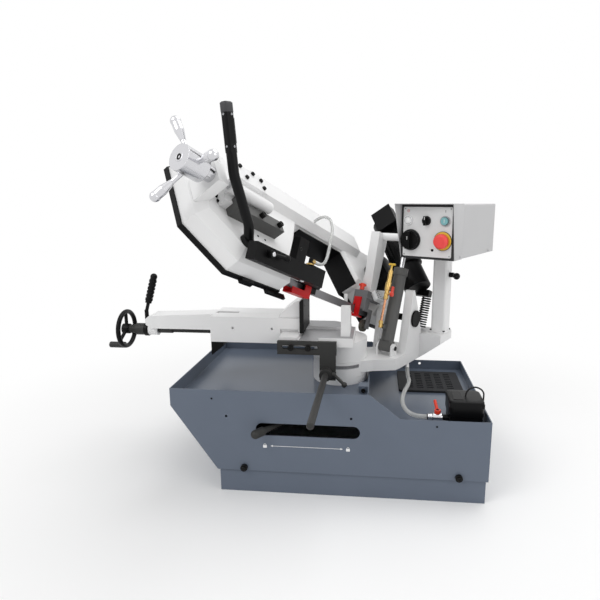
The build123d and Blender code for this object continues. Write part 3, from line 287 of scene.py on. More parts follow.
TAP_RED = Finish("tap_red", (226, 62, 40), roughness=0.38, grain=900, wear=0.3, worn=(244, 140, 120))
KNOB_YELLOW = Finish(
    "knob_yellow", (222, 182, 60), roughness=0.36, grain=900, wear=0.3, worn=(246, 228, 156),
)
STOP_RED = Finish("stop_red", (240, 74, 72), roughness=0.36, grain=1100, wear=0.3, worn=(250, 144, 140))
STOP_YELLOW = Finish(
    "stop_yellow", (232, 186, 40), roughness=0.42, grain=1100, wear=0.2, slot="knob_yellow",
)
START_TEAL = Finish("start_teal", (126, 182, 186), roughness=0.32, grain=1100, coat=0.2)
LAMP_WHITE = Finish(
    "lamp_white", (240, 240, 240), roughness=0.28, grain=1100, coat=0.3, slot="panel_plate",
)
BRUSH_WIRE = Finish("brush_wire", (86, 82, 74), roughness=0.55, metallic=0.4, grain=2600, bump=0.6)
SPRING_BLACK = Finish("spring_black", (24, 24, 25), metallic=0.3, worn=(90, 90, 92), specular=0.35)
HOSE_CLEAR = Finish(
    "hose_clear", (214, 215, 214), roughness=0.22, grain=300, bump=0.04, wear=0.0, clear=True,
)
CABLE_BLACK = Finish("cable_black", (20, 20, 21), roughness=0.52, grain=1400, wear=0.0, specular=0.3)
GUIDE_GREY = Finish(
    "guide_grey", (104, 104, 106), roughness=0.45, grain=420, bump=0.16, slot="dark_metal",
)
GROUND_STEEL = Finish(
    "ground_steel", (158, 158, 160), roughness=0.42, metallic=0.35, grain=150, bump=0.06,
    streak=(20, 1, 1), patches=0.06, wear=0.0, slot="bright_steel",
)
PLATE_GREY = Finish("plate_grey", (236, 237, 238), grain=300, bump=0.06, slot="bright_steel")
PRINT_WHITE = Finish(
    "print_white", (236, 236, 236), roughness=0.5, wear=0.0, patches=0.03, slot="panel_plate",
)
# Near-black for the printed ticks and marks, and painted shade inside the pan holes and the keyhole; the fan
# rings and tub plugs take it too.
SHADE_AND_PRINT_BLACK = Finish(
    "shade_and_print_black", (10, 10, 11), roughness=0.7, wear=0.0, specular=0.15, slot="black_plastic",
)

NODE_FINISHES: dict[Finish, tuple[str, ...]] = {
    STAND_PAINT: ("stand_tub", "stand_plinth"),
    CASTING: (
        "swivel_pedestal", "saw_table", "fixed_jaw", "vise_bed", "moving_jaw", "swivel_arm", "bow_frame",
        "tension_housing", "console_post",
    ),
    CONSOLE_PAINT: ("console_box",),
    PANEL_FRAME: ("console_panel",),
    TANK_GRATE: ("tank_cover",),
    # bed_bracket is a black block under the bed's left-back corner; its black is painted shade of the tray's
    # rear-left corner.
    BLACK_PAINT: ("bed_bracket", "rear_cover", "gearbox", "motor", "guide_arm", "hinge_pin"),
    DARK_METAL: ("feed_cylinder", "gib_plate"),
    JAW_SHADE_IRON: ("jaw_plate",),
    IRON: ("stop_bracket", "stop_rod", "stop_clamp_lever", "swivel_lock_lever", "vise_screw", "crank_grip"),
    BOLT_BLACK: ("stand_bolts", "bow_bolts"),
    BLACK_PLASTIC: (
        "vise_handwheel", "quick_lever", "pump", "speed_selector", "main_switch", "console_lever",
        "pull_handle", "trigger", "guide_clamp_lever",
    ),
    BRIGHT_STEEL: ("drive_wheel", "idle_wheel"),
    BLADE_STEEL: ("saw_blade",),
    POLISHED: ("tension_wheel", "cylinder_rod"),
    GUARD_RED: ("fixed_guide_guard", "front_guide_guard"),
    VALVE_BRASS: ("needle_valve",),
    TAP_RED: ("valve_tap", "valve_lever", "guide_tap"),
    KNOB_YELLOW: ("feed_knob",),
    STOP_RED: ("emergency_stop",),
    START_TEAL: ("start_button",),
    BRUSH_WIRE: ("chip_brush",),
    GUIDE_GREY: ("fixed_guide",),
    SPRING_BLACK: ("return_spring",),
    HOSE_CLEAR: ("coolant_hose", "bow_hose"),
    CABLE_BLACK: ("pump_cable",),
}


def coat(item: bpy.types.Object, finish: Finish) -> None:
    """Give an object one finish.

    Args:
        item: the mesh object.
        finish: what it is made of.
    """
    item.data.materials.clear()
    item.data.materials.append(finish.material())


class Shaper:
    """One new mesh on the bench, shaped with modelling operators and then dressed."""

    def __init__(self, item: bpy.types.Object, place: Matrix) -> None:
        """Put an object on the bench.

        Args:
            item: the mesh object.
            place: frame in which its directions are given.
        """
        self.item = item
        self.place = place

    @classmethod
    def _fresh(cls, name: str, place: Matrix) -> "Shaper":
        """Take over the object that an operator has just added.

        Args:
            name: the piece's name.
            place: frame in which its directions are given.

        Returns:
            The piece on the bench.
        """
        item = bpy.context.object
        item.name = name
        item.data.name = name
        bpy.ops.object.transform_apply(location=True, rotation=True, scale=True)
        return cls(item, place)

    @staticmethod
    def clear() -> None:
        """Leave nothing selected."""
        if bpy.context.object and bpy.context.object.mode != "OBJECT":
            bpy.ops.object.mode_set(mode="OBJECT")
        bpy.ops.object.select_all(action="DESELECT")

    @classmethod
    def alone(cls, item: bpy.types.Object) -> None:
        """Make one object the only selected and the active one.

        Args:
            item: the object.
        """
        cls.clear()
        item.select_set(True)
        bpy.context.view_layer.objects.active = item

    @classmethod
    def box(cls, name: str, place: Matrix, low: Sequence[float], high: Sequence[float]) -> "Shaper":
        """Start from a block between two corners.

        Args:
            name: the piece's name.
            place: frame of the corners.
            low: lowest corner, in millimetres.
            high: highest corner, in millimetres.

        Returns:
            The block on the bench.
        """
        cls.clear()
        middle = (Vector(low) + Vector(high)) * MM / 2
        sizes = (Vector(high) - Vector(low)) * MM
        bpy.ops.mesh.primitive_cube_add(
            size=1, location=place @ middle, rotation=place.to_euler(), scale=sizes
        )
        return cls._fresh(name, place)

    @classmethod
    def drum(
        cls, name: str, place: Matrix, at: Sequence[float], radius: float, depth: float,
        way: Heading = Way.UP, sides: int = 48,
    ) -> "Shaper":
        """Start from a round blank with its foot at a point.

        Args:
            name: the piece's name.
            place: frame of the point.
            at: middle of the blank's foot, in millimetres.
            radius: outer radius, in millimetres.
            depth: length along the axis, in millimetres.
            way: direction of the blank in the frame.
            sides: number of facets round it.

        Returns:
            The blank on the bench, with its frame turned so that z runs along it.
        """
        cls.clear()
        turn = heading(Way.UP).rotation_difference(heading(way)).to_matrix().to_4x4()
        turned = place @ Matrix.Translation(Vector(at) * MM) @ turn
        bpy.ops.mesh.primitive_cylinder_add(
            vertices=sides, radius=radius * MM, depth=depth * MM,
            location=turned @ Vector((0, 0, depth * MM / 2)), rotation=turned.to_euler(),
        )
        return cls._fresh(name, turned)

    def bore(self, wall: float) -> "Shaper":
        """Open a drum right through and leave a wall.

        Args:
            wall: its thickness, in millimetres.

        Returns:
            The ring on the bench.
        """
        self.pick(lambda normal, middle: abs(normal.z) > FACING).inset(wall)
        bpy.ops.mesh.bridge_edge_loops()
        return self.tidy()

    def tidy(self) -> "Shaper":
        """Turn all faces outward.

        Returns:
            This piece.
        """
        bpy.ops.object.mode_set(mode="EDIT")
        bpy.ops.mesh.select_all(action="SELECT")
        bpy.ops.mesh.normals_make_consistent(inside=False)
        return self

    def drop(self, test: FaceTest) -> "Shaper":
        """Delete the faces that pass a test and close the openings that are left.

        Args:
            test: true for a face that goes, from its normal and middle.

        Returns:
            This piece.
        """
        self.pick(test)
        bpy.ops.mesh.delete(type="FACE")
        bpy.ops.mesh.select_all(action="SELECT")
        bpy.ops.mesh.fill_holes(sides=8)
        return self.tidy()

    def cut(self, at: Sequence[float], way: Heading) -> "Shaper":
        """Cut off what lies beyond a plane and close the cut.

        Args:
            at: point of the plane in the frame, in millimetres.
            way: direction in which everything goes.

        Returns:
            This piece.
        """
        bpy.ops.object.mode_set(mode="EDIT")
        bpy.ops.mesh.select_all(action="SELECT")
        bpy.ops.mesh.bisect(
            plane_co=self.place @ (Vector(at) * MM), plane_no=self.place.to_3x3() @ heading(way),
            use_fill=True, clear_outer=True,
        )
        return self

    def squeeze(self, factors: Sequence[float]) -> "Shaper":
        """Scale the selected faces about their own middle.

        Args:
            factors: one for each axis of the machine.

        Returns:
            This piece.
        """
        self.item.update_from_editmode()
        chosen = [spot.co for spot in self.item.data.vertices if spot.select]
        bpy.ops.transform.resize(value=factors, center_override=sum(chosen, Vector()) / len(chosen))
        return self

    def round_edges(self, way: Heading, radius: float, segments: int = 4) -> "Shaper":
        """Round the edges that run along a way in the frame.

        Args:
            way: direction of the edges.
            radius: size of the rounding, in millimetres.
            segments: facets in it.

        Returns:
            This piece.
        """
        self._unpick("EDGE")
        aim = (self.place.to_3x3() @ heading(way)).normalized()
        spots = self.item.data.vertices
        for edge in self.item.data.edges:
            first, last = (spots[number].co for number in edge.vertices)
            edge.select = abs((last - first).normalized().dot(aim)) > PARALLEL
        bpy.ops.object.mode_set(mode="EDIT")
        bpy.ops.mesh.bevel(offset=radius * MM, segments=segments, affect="EDGES")
        return self

    @staticmethod
    def _unpick(kind: str) -> None:
        """Deselect everything and leave edit mode, ready for marking.

        Args:
            kind: what is marked next: VERT, EDGE or FACE.
        """
        bpy.ops.object.mode_set(mode="EDIT")
        bpy.ops.mesh.select_mode(type=kind)
        bpy.ops.mesh.select_all(action="DESELECT")
        bpy.ops.object.mode_set(mode="OBJECT")

    def pick(self, test: FaceTest) -> "Shaper":
        """Select the faces that pass a test on their normal and middle, in the frame and millimetres.

        Args:
            test: true for a face that is wanted.

        Returns:
            This piece, in face select mode.
        """
        self._unpick("FACE")
        back = self.place.inverted()
        for face in self.item.data.polygons:
            normal = back.to_3x3() @ face.normal
            face.select = test(normal, (back @ face.center) / MM)
        bpy.ops.object.mode_set(mode="EDIT")
        return self

    def facing(self, way: Heading) -> "Shaper":
        """Select the faces that look a given way in the frame."""
        aim = heading(way).normalized()
        return self.pick(lambda normal, middle: normal.dot(aim) > FACING)

    def drag(self, at: Sequence[float], way: Sequence[float]) -> "Shaper":
        """Move the vertex that is nearest to a point.

        Args:
            at: the point in the frame, in millimetres.
            way: direction and length of the move, in millimetres.

        Returns:
            This piece.
        """
        self._unpick("VERT")
        aim = self.place @ (Vector(at) * MM)
        nearest = min(self.item.data.vertices, key=lambda spot: (spot.co - aim).length)
        nearest.select = True
        bpy.ops.object.mode_set(mode="EDIT")
        bpy.ops.transform.translate(value=self.place.to_3x3() @ (Vector(way) * MM))
        return self

    def inset(self, thickness: float, depth: float = 0.0) -> "Shaper":
        """Inset the selected faces by a width, and sink or raise them, in millimetres."""
        bpy.ops.mesh.inset(thickness=thickness * MM, depth=depth * MM)
        return self

    def pull(self, way: Sequence[float]) -> "Shaper":
        """Extrude the selected faces along a way in the frame.

        Args:
            way: direction and length, in millimetres.

        Returns:
            This piece.
        """
        step = self.place.to_3x3() @ (Vector(way) * MM)
        bpy.ops.mesh.extrude_region_move(TRANSFORM_OT_translate={"value": step})
        return self

    def apply(self, kind: str, **settings: object) -> "Shaper":
        """Change the piece with a modifier and apply it.

        Args:
            kind: type of the modifier.
            settings: its attributes.

        Returns:
            This piece, in object mode.
        """
        bpy.ops.object.mode_set(mode="OBJECT")
        modifier = self.item.modifiers.new(kind.lower(), kind)
        for name, value in settings.items():
            setattr(modifier, name, value)
        bpy.ops.object.modifier_apply(modifier=modifier.name)
        return self

    def soften(self, width: float, segments: int = 2, angle: float = 40) -> "Shaper":
        """Round the edges sharper than an angle by a width in millimetres."""
        sizes = {"width": width * MM, "segments": segments, "angle_limit": radians(angle)}
        return self.apply("BEVEL", limit_method="ANGLE", **sizes)

    def copies(self, place: Matrix, shifts: Iterable[Sequence[float]]) -> list["Shaper"]:
        """Copy the piece, each time with its own mesh, by shifts in a frame.

        Args:
            place: frame of the shifts.
            shifts: moves in millimetres.

        Returns:
            The copies, named after the piece.
        """
        bpy.ops.object.mode_set(mode="OBJECT")
        made = []
        for number, shift in enumerate(shifts, start=2):
            item = self.item.copy()
            item.data = self.item.data.copy()
            item.name = f"{self.item.name}_{number}"
            step = place.to_3x3() @ (Vector(shift) * MM)
            item.data.transform(Matrix.Translation(step))
            bpy.context.scene.collection.objects.link(item)
            made.append(Shaper(item, self.place))
        return made

    def dress(self, finish: Finish, body: str, smooth: float = 40) -> None:
        """Give the piece its finish, shading and body.

        Args:
            finish: what it is made of.
            body: moving body that carries it.
            smooth: edges sharper than this stay crisp.
        """
        self.alone(self.item)
        bpy.ops.object.shade_smooth_by_angle(angle=radians(smooth))
        coat(self.item, finish)
        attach(self.item, body)
        LOG.info("%s on %s", self.item.name, body)


@dataclass(frozen=True)
class Screw:
    """Socket screw of one size, set wherever it is needed."""

    radius: float
    high: float
    finish: Finish = BOLT_BLACK
    sides: int = 24
    land: float = 0.45
    deep: float = 0.6
    edge: float = 0.1

    def set(
        self, name: str, place: Matrix, spots: Sequence[Sequence[float]], body: str,
        way: Heading = Way.FRONT,
    ) -> None:
        """Shape one head with its socket and copy it to all its spots.

        Args:
            name: name of the first one.
            place: frame of the spots.
            spots: points under the heads, in millimetres.
            body: moving body that carries them.
            way: direction in which the heads stand.
        """
        head = Shaper.drum(name, place, spots[0], self.radius, self.high, way, self.sides)
        head.facing(Way.UP).inset(self.radius * self.land).pull((0, 0, -self.high * self.deep))
        head.soften(self.radius * self.edge, 1)
        shifts = [Vector(spot) - Vector(spots[0]) for spot in spots[1:]]
        for piece in (head, *head.copies(place, shifts)):
            piece.dress(self.finish, body)


def dress_nodes() -> None:
    """Give every solid of the frame its finish."""
    for finish, names in NODE_FINISHES.items():
        for name in names:
            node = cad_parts[name]
            node.data.materials.clear()
            node.data.materials.append(finish.material())
            LOG.info("%s takes %s", name, finish.name)


def lay_spline(
    name: str, points: Sequence[Vector], radius: float, smooth: int, rings: int
) -> bpy.types.Object:
    """Lay one smooth spline over control points.

    Args:
        name: the piece's name.
        points: control points in the machine's frame.
        radius: thickness round the spline in metres, 0 for a bare one.
        smooth: steps from one control point to the next.
        rings: fineness of the round section.

    Returns:
        The curve object.
    """
    data = bpy.data.curves.new(name, "CURVE")
    data.dimensions = "3D"
    data.resolution_u = smooth
    data.bevel_depth = radius
    data.bevel_resolution = rings
    data.use_fill_caps = True
    spline = data.splines.new("NURBS")
    spline.points.add(len(points) - 1)
    for spot, point in zip(spline.points, points):
        spot.co = (*point, 1)
    spline.order_u = 3
    spline.use_endpoint_u = True
    item = bpy.data.objects.new(name, data)
    bpy.context.scene.collection.objects.link(item)
    return item


def as_mesh(item: bpy.types.Object, smooth: float = 50) -> bpy.types.Object:
    """Turn a curve into a smoothly shaded mesh.

    Args:
        item: the curve object.
        smooth: edges sharper than this stay crisp.

    Returns:
        The mesh object, under the same name.
    """
    Shaper.alone(item)
    bpy.ops.object.convert(target="MESH")
    bpy.ops.object.shade_smooth_by_angle(angle=radians(smooth))
    return bpy.context.object


@dataclass
class Line:
    """A cord's route, its thickness and what it joins."""

    name: str
    node: str
    bodies: tuple[str, ...]
    diameter: float
    length: float
    finish: Finish
    route: tuple[Point, ...]
    place: Matrix = field(default_factory=lambda: WORLD)
    smooth: int = 12
    rings: int = 6

    def _curve(self, radius: float) -> bpy.types.Object:
        """Lay the route as one spline with a radius in metres."""
        points = [self.place @ (Vector(point) * MM) for point in self.route]
        return lay_spline(self.name, points, radius, self.smooth, self.rings)

    def centreline(self) -> list[Vector]:
        """Sample the spline itself.

        Returns:
            Its points in the machine's frame.
        """
        bare = self._curve(0)
        bpy.context.view_layer.update()
        sampled = bpy.data.meshes.new_from_object(bare)
        path = [spot.co.copy() for spot in sampled.vertices]
        bpy.data.objects.remove(bare)
        return path

    def tube(self) -> bpy.types.Object:
        """Turn the spline into a mesh tube as thick as the line."""
        return as_mesh(self._curve(self.diameter * MM / 2))

    def build(self) -> None:
        """Make the line, hang it on its body when it has only one, and hide the solid it replaces."""
        path = self.centreline()
        item = self.tube()
        coat(item, self.finish)
        if len(self.bodies) == 1:
            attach(item, self.bodies[0])
        else:
            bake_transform(item)
        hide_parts(self.node)
        LOG.info("%s on %s", self.name, " and ".join(self.bodies))


@dataclass
class Plumbing:
    """The pump's hose and cable, and the hose on the bow."""

    hose: tuple[Point, ...] = (
        (284, -212, 248), (249, -212, 248), (218, -193, 259), (208, -156, 277), (219, -112, 290),
        (234, -68, 296), (240, -24, 295), (236, 16.6, 297.8), (236, 44, 316),
    )
    cable: tuple[Point, ...] = (
        (402, -188, 304), (402, -188, 328), (430, -187, 344), (458, -186, 328), (458, -184, 300),
        (458, -181, 272), (458, -180, 250), (458, -180, 230),
    )
    bow_hose: tuple[Point, ...] = (
        (54, -484, 60), (54, -456, 60), (49, -426, 72), (37, -402, 98), (22, -382, 134), (8, -364, 174),
        (-6, -350, 212), (-25.5, -345, 242), (-49, -342, 253), (-75.2, -340, 250.6), (-94.4, -340, 236.2),
    )

    def build(self) -> None:
        """Lay the three lines."""
        ends = ("stand", "swivel")
        Line("clear_hose", "coolant_hose", ends, 14, 0.3231, HOSE_CLEAR, self.hose).build()
        Line("pump_lead", "pump_cable", ("stand",), 5, 0.1797, CABLE_BLACK, self.cable).build()
        Line("guide_hose", "bow_hose", ("guide", "bow"), 10, 0.3404, HOSE_CLEAR, self.bow_hose, BOW).build()


@dataclass
class ReturnSpring:
    """Coil between the shelf and the tail arm."""

    foot: Point = (162, 300, 429.5)
    head: Point = (162, 346, 543.2)
    turns: int = 13
    radius: float = 16
    wire: float = 3
    steps: int = 14

    def build(self) -> None:
        """Wind the coil and leave it in place between its two bodies."""
        item = as_mesh(lay_spline("lift_spring", self._coil(), self.wire * MM, smooth=3, rings=3))
        coat(item, SPRING_BLACK)
        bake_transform(item)
        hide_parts("return_spring")
        LOG.info("lift_spring between swivel and bow")

    def _coil(self) -> list[Vector]:
        """Wind the wire's middle line.

        Returns:
            Control points in the machine's frame.
        """
        foot = Vector(self.foot)
        way = Vector(self.head) - foot
        place = SWIVEL @ Matrix.Translation(foot * MM) @ way.to_track_quat("Z", "Y").to_matrix().to_4x4()
        rise = way.length - 2 * self.wire
        count = self.turns * self.steps
        points = []
        for number in range(count + 1):
            angle = 2 * pi * number / self.steps
            high = self.wire + rise * number / count
            points.append(place @ (Vector((self.radius * cos(angle), self.radius * sin(angle), high)) * MM))
        return points


@dataclass
class Console:
    """Hood, face plate, lamp and marks of the control box."""

    left: float = 158
    right: float = 346
    low: float = 714
    top: float = 892
    front: float = 136
    face: float = 128
    hood_lip: float = 4
    hood_deep: float = 60
    hood_gap: float = 0.5
    left_reach: float = 56
    right_reach: float = 30
    wall: float = 2
    side_screws: tuple[tuple[float, float], ...] = ((178, 722), (458, 722))
    plate_edge: float = 8
    screw_edge: float = 14
    skin: float = 127.1
    post_foot: Corners = ((199, 287, 425), (264, 352, 431))
    post_screws: tuple[tuple[float, ...], ...] = ((206, 257), (294, 345), (431,))
    high_row: float = 840
    low_row: float = 776
    print_row: float = 871
    lamp: float = 184
    selector: float = 250
    start: float = 314
    switch: float = 195
    stop: float = 308

    def build(self) -> None:
        """Build the box's trim and the marks on its controls."""
        self._hood()
        self._plates()
        self._bezels()
        self._marks()

    def _hood(self) -> None:
        """Fold the sheet hood that reaches over the panel, and screw it on."""
        gap, lip = self.hood_gap, self.front - self.hood_lip
        hood = Shaper.box(
            "console_hood", SWIVEL, (self.left - gap, self.front, self.low),
            (self.right + gap, self.front + self.hood_deep, self.top + gap),
        )
        hood.facing(Way.FRONT).pull((0, -self.hood_lip, 0))
        for side, reach in ((self.left, self.left_reach), (self.right, self.right_reach)):
            hood.drag((side, lip, self.top), (0, self.hood_lip - reach, 0))
        hood.pick(lambda normal, middle: normal.z < -FACING or abs(normal.y) > 0.4)
        bpy.ops.mesh.delete(type="FACE")
        hood.tidy().apply("SOLIDIFY", thickness=self.wall * MM, offset=1, use_even_offset=True)
        hood.soften(0.7).dress(CONSOLE_PAINT, "swivel")
        screw, out = Screw(3.2, 1.6, BRIGHT_STEEL), gap + self.wall
        near = [(self.right + out, *spot) for spot in self.side_screws]
        screw.set("console_side_screw", SWIVEL, near, "swivel", Way.RIGHT)
        far = [(self.left - out, *spot) for spot in self.side_screws]
        screw.set("console_far_screw", SWIVEL, far, "swivel", Way.LEFT)

    def _plates(self) -> None:
        """Screw down the pale face plate on the panel and the foot plate of the post."""
        edge, rim = self.plate_edge, self.screw_edge
        plate = Shaper.box(
            "console_face", SWIVEL, (self.left + edge, self.skin, self.low + edge),
            (self.right - edge, self.face, self.top - edge),
        )
        plate.round_edges(Way.BACK, 5).soften(0.3, 1).dress(PANEL_PLATE, "swivel")
        corners = product((self.left + rim, self.right - rim), (self.skin,), (self.low + rim, self.top - rim))
        Screw(2.2, 1.2, BRIGHT_STEEL).set("console_face_screw", SWIVEL, [*corners], "swivel")
        foot = Shaper.box("post_foot", SWIVEL, *self.post_foot)
        foot.round_edges(Way.UP, 4).soften(0.8).dress(CASTING, "swivel")
        Screw(4, 4).set("post_screw", SWIVEL, [*product(*self.post_screws)], "swivel", Way.UP)

    def _bezels(self) -> None:
        """Ring the lamp, the start button and the stop button."""
        lamp, start = ((side, self.face, self.high_row) for side in (self.lamp, self.start))
        rim = Shaper.drum("lamp_rim", SWIVEL, lamp, 16, 5, Way.FRONT)
        rim.bore(4.2).soften(0.8).dress(PLATE_GREY, "swivel")
        lens = Shaper.drum("lamp_lens", SWIVEL, lamp, 12, 5, Way.FRONT)
        lens.facing(Way.UP).inset(2.6, 1.8).inset(3.4, 1.1).inset(3.4, 0.4)
        lens.dress(LAMP_WHITE, "swivel", 70)
        collar = Shaper.drum("start_rim", SWIVEL, start, 16.4, 6, Way.FRONT)
        collar.bore(3.6).soften(0.8).dress(BRIGHT_STEEL, "swivel")
        stop = (self.stop, self.face - 3.1, self.low_row)
        warning = Shaper.drum("stop_disc", SWIVEL, stop, 29.6, 0.8, Way.FRONT, 64)
        warning.bore(16.6).soften(0.5).dress(STOP_YELLOW, "swivel")

    def _marks(self) -> None:
        """Print the marks of the switches and of the panel, and lay a black disc as painted shade in the
        keyhole.
        """
        strokes = (
            ("start_mark", "start", self.start, 0.9, (116.4, 834), (117.1, 846)),
            ("selector_mark", "speed_switch", self.selector, 1, (107.5, 843), (108.2, 853)),
            ("switch_mark", "isolator", self.switch, 1, (97.5, 778), (98.2, 789)),
        )
        for name, body, side, half, low, high in strokes:
            stroke = Shaper.box(name, SWIVEL, (side - half, *low), (side + half, *high))
            stroke.soften(0.2, 1).dress(PRINT_WHITE, body)
        off = Shaper.drum("off_mark", SWIVEL, (self.lamp, self.face - 0.8, self.print_row), 4, 0.4, Way.FRONT)
        off.bore(1.1).soften(0.1, 1).dress(STOP_RED, "swivel")
        run = Shaper.box("on_mark", SWIVEL, (self.start - 0.7, 126.8, 867), (self.start + 0.7, 127.2, 875))
        run.soften(0.1, 1).dress(SHADE_AND_PRINT_BLACK, "swivel")
        # Black disc at the keyhole: painted shade inside it.
        dot = Shaper.drum("keyhole_shade", SWIVEL, (273, self.face - 0.5, 745), 4.5, 1.2, Way.FRONT)
        dot.facing(Way.UP).inset(1.4, -0.5).dress(SHADE_AND_PRINT_BLACK, "swivel")


@dataclass
class BowTrim:
    """Screws of the bow and its handle, the pale block on the fixed guide, and the cap on the grip."""

    handle_screws: tuple[Point, ...] = ((33.5, -920, 291.4), (35.4, -888, 226.3))
    handle_way: Point = (0, -0.9, -0.44)
    handle_side_screws: tuple[Point, ...] = ((43.5, -905.7, 298.4), (47.3, -876.3, 231.4))
    lower_row: tuple[tuple[float, ...], ...] = ((-770, -695, -620), (104,), (98,))
    upper_row: tuple[tuple[float, ...], ...] = ((-780, -728, -676), (259,), (78,))
    pan_hole_shades: tuple[Point, ...] = ((-680, 69, 50), (-651, 67, 50))
    housing_screws: tuple[Point, ...] = (
        (-752, 240, 106), (-700, 240, 106), (-668, 232, 106), (-664, 206, 106), (-735, 208, 106),
    )
    housing_side_screws: tuple[Point, ...] = ((-815, 141, 53), (-815, 125, 52))
    block: Corners = ((-79, 6, 65), (-33, 42, 82))
    block_screws: tuple[tuple[float, ...], ...] = ((-68, -56, -44), (14, 24, 34), (82,))
    grip_foot: Point = (35, -870, 219)
    grip_head: Point = (31.6, -921, 323)
    cap_half: tuple[float, float] = (11.5, 13.5)
    cap_reach: tuple[float, float] = (24, 3)

    def build(self) -> None:
        """Set the screws, lay the block and cap the grip."""
        handle = Screw(2.8, 1.4, BRIGHT_STEEL)
        handle.set("handle_screw", BOW, self.handle_screws, "bow", self.handle_way)
        handle.set("handle_side_screw", BOW, self.handle_side_screws, "bow", Way.RIGHT)
        caps = [*product(*self.lower_row), *product(*self.upper_row)]
        Screw(8, 3.5).set("bow_cap_screw", BAND, caps, "bow", Way.UP)
        # Black discs in the pan holes: painted shade inside the holes.
        Screw(3.4, 0.8, SHADE_AND_PRINT_BLACK).set("pan_hole_shade", BAND, self.pan_hole_shades, "bow", Way.UP)
        Screw(6, 6).set("housing_screw", BAND, self.housing_screws, "tension_slide", Way.UP)
        side = Screw(4.5, 4)
        side.set("housing_side_screw", BAND, self.housing_side_screws, "tension_slide", Way.LEFT)
        block = Shaper.box("guide_plate", BAND, *self.block)
        block.round_edges(Way.UP, 3).soften(0.6).dress(PLATE_GREY, "bow")
        Screw(2.6, 0.7).set("guide_plate_screw", BAND, [*product(*self.block_screws)], "bow", Way.UP)
        self._grip_cap()

    def _grip_cap(self) -> None:
        """Slip the grey cap over the end of the grip."""
        foot, head = Vector(self.grip_foot), Vector(self.grip_head)
        along = (head - foot).normalized()
        deep = along.cross(heading(Way.RIGHT)).normalized()
        turn = Matrix((deep.cross(along), deep, along)).transposed().to_4x4()
        place = BOW @ Matrix.Translation(foot * MM) @ turn
        wide, thick = self.cap_half
        low, high = ((head - foot).length - reach for reach in self.cap_reach)
        cap = Shaper.box("grip_cap", place, (-wide, -thick, low), (wide, thick, high))
        cap.round_edges(Way.UP, 7).facing(Way.UP).inset(1.2, 0.8).soften(0.4).dress(CAP_GREY, "bow")


@dataclass
class TensionStar:
    """Hub of the blade tension wheel."""

    mouth: Point = (-972, 145, 96)
    screw: Point = (-973, 145, 96)

    def build(self) -> None:
        """Ring the bore and set the screw in it."""
        mouth = Shaper.drum("star_mouth", BAND, self.mouth, 12, 3.2, Way.LEFT)
        mouth.bore(4).soften(0.7).dress(POLISHED, "tension_star")
        Screw(7.4, 2.4).set("star_screw", BAND, [self.screw], "tension_star", Way.LEFT)


@dataclass
class GuideTrim:
    """Fittings of the sliding blade guide."""

    nut: Point = (54, -500, 41)
    joint: Point = (54, -500, 60)
    sensor: Point = (90, -601, 67)
    stud: Point = (78, -551, 0)
    clamp: Point = (108, -722, 16)

    def build(self) -> None:
        """Fit the nut and sleeve of the hose, the sensor hole, the stud and the clamp's cap."""
        nut = Shaper.drum("guide_nut", BOW, self.nut, 12.5, 10, Way.UP, 6)
        nut.facing(Way.UP).inset(2, 0.9).soften(0.5).dress(VALVE_BRASS, "guide")
        sleeve = Shaper.drum("guide_sleeve", BOW, self.joint, 7.4, 15.5, Way.BACK, 32)
        sleeve.bore(2.2).pick(lambda normal, middle: abs(normal.z) < 0.1).inset(0.01)
        sleeve.soften(0.6).dress(VALVE_BRASS, "guide")
        hole = Shaper.drum("sensor_hole", BOW, self.sensor, 4.6, 1.2, Way.RIGHT, 32)
        hole.bore(1.4).soften(0.3, 1).dress(IRON, "guide")
        stud = Shaper.drum("guide_stud", BOW, self.stud, 6.5, 14, Way.DOWN, 32)
        stud.facing(Way.UP).inset(1.5, 0.8).inset(2.2, -1.2).soften(0.4).dress(POLISHED, "guide")
        cap = Shaper.drum("clamp_cap", BOW, self.clamp, 6, 2.5, Way.RIGHT, 32)
        cap.facing(Way.UP).inset(1.6, 0.8).soften(0.3).dress(POLISHED, "guide_clamp")


@dataclass
class DamperTrim:
    """Copper return pipe of the feed cylinder with its nuts."""

    pipe: Point = (-8, -57, 80)
    long: float = 84
    nut: Point = (-8, -57, 74)
    nut_step: Point = (0, 0, 86)

    def build(self) -> None:
        """Stand the pipe between its two nuts."""
        pipe = Shaper.drum("return_pipe", DAMPER, self.pipe, 4.5, self.long, sides=32)
        pipe.facing(Way.UP).inset(0.8, -0.6).soften(0.3, 1).dress(COPPER_PIPE, "damper")
        nut = Shaper.drum("pipe_nut", DAMPER, self.nut, 8, 10, sides=6)
        nut.facing(Way.UP).inset(1.4, 0.8).soften(0.4)
        for piece in (nut, *nut.copies(DAMPER, [self.nut_step])):
            piece.dress(VALVE_BRASS, "damper")


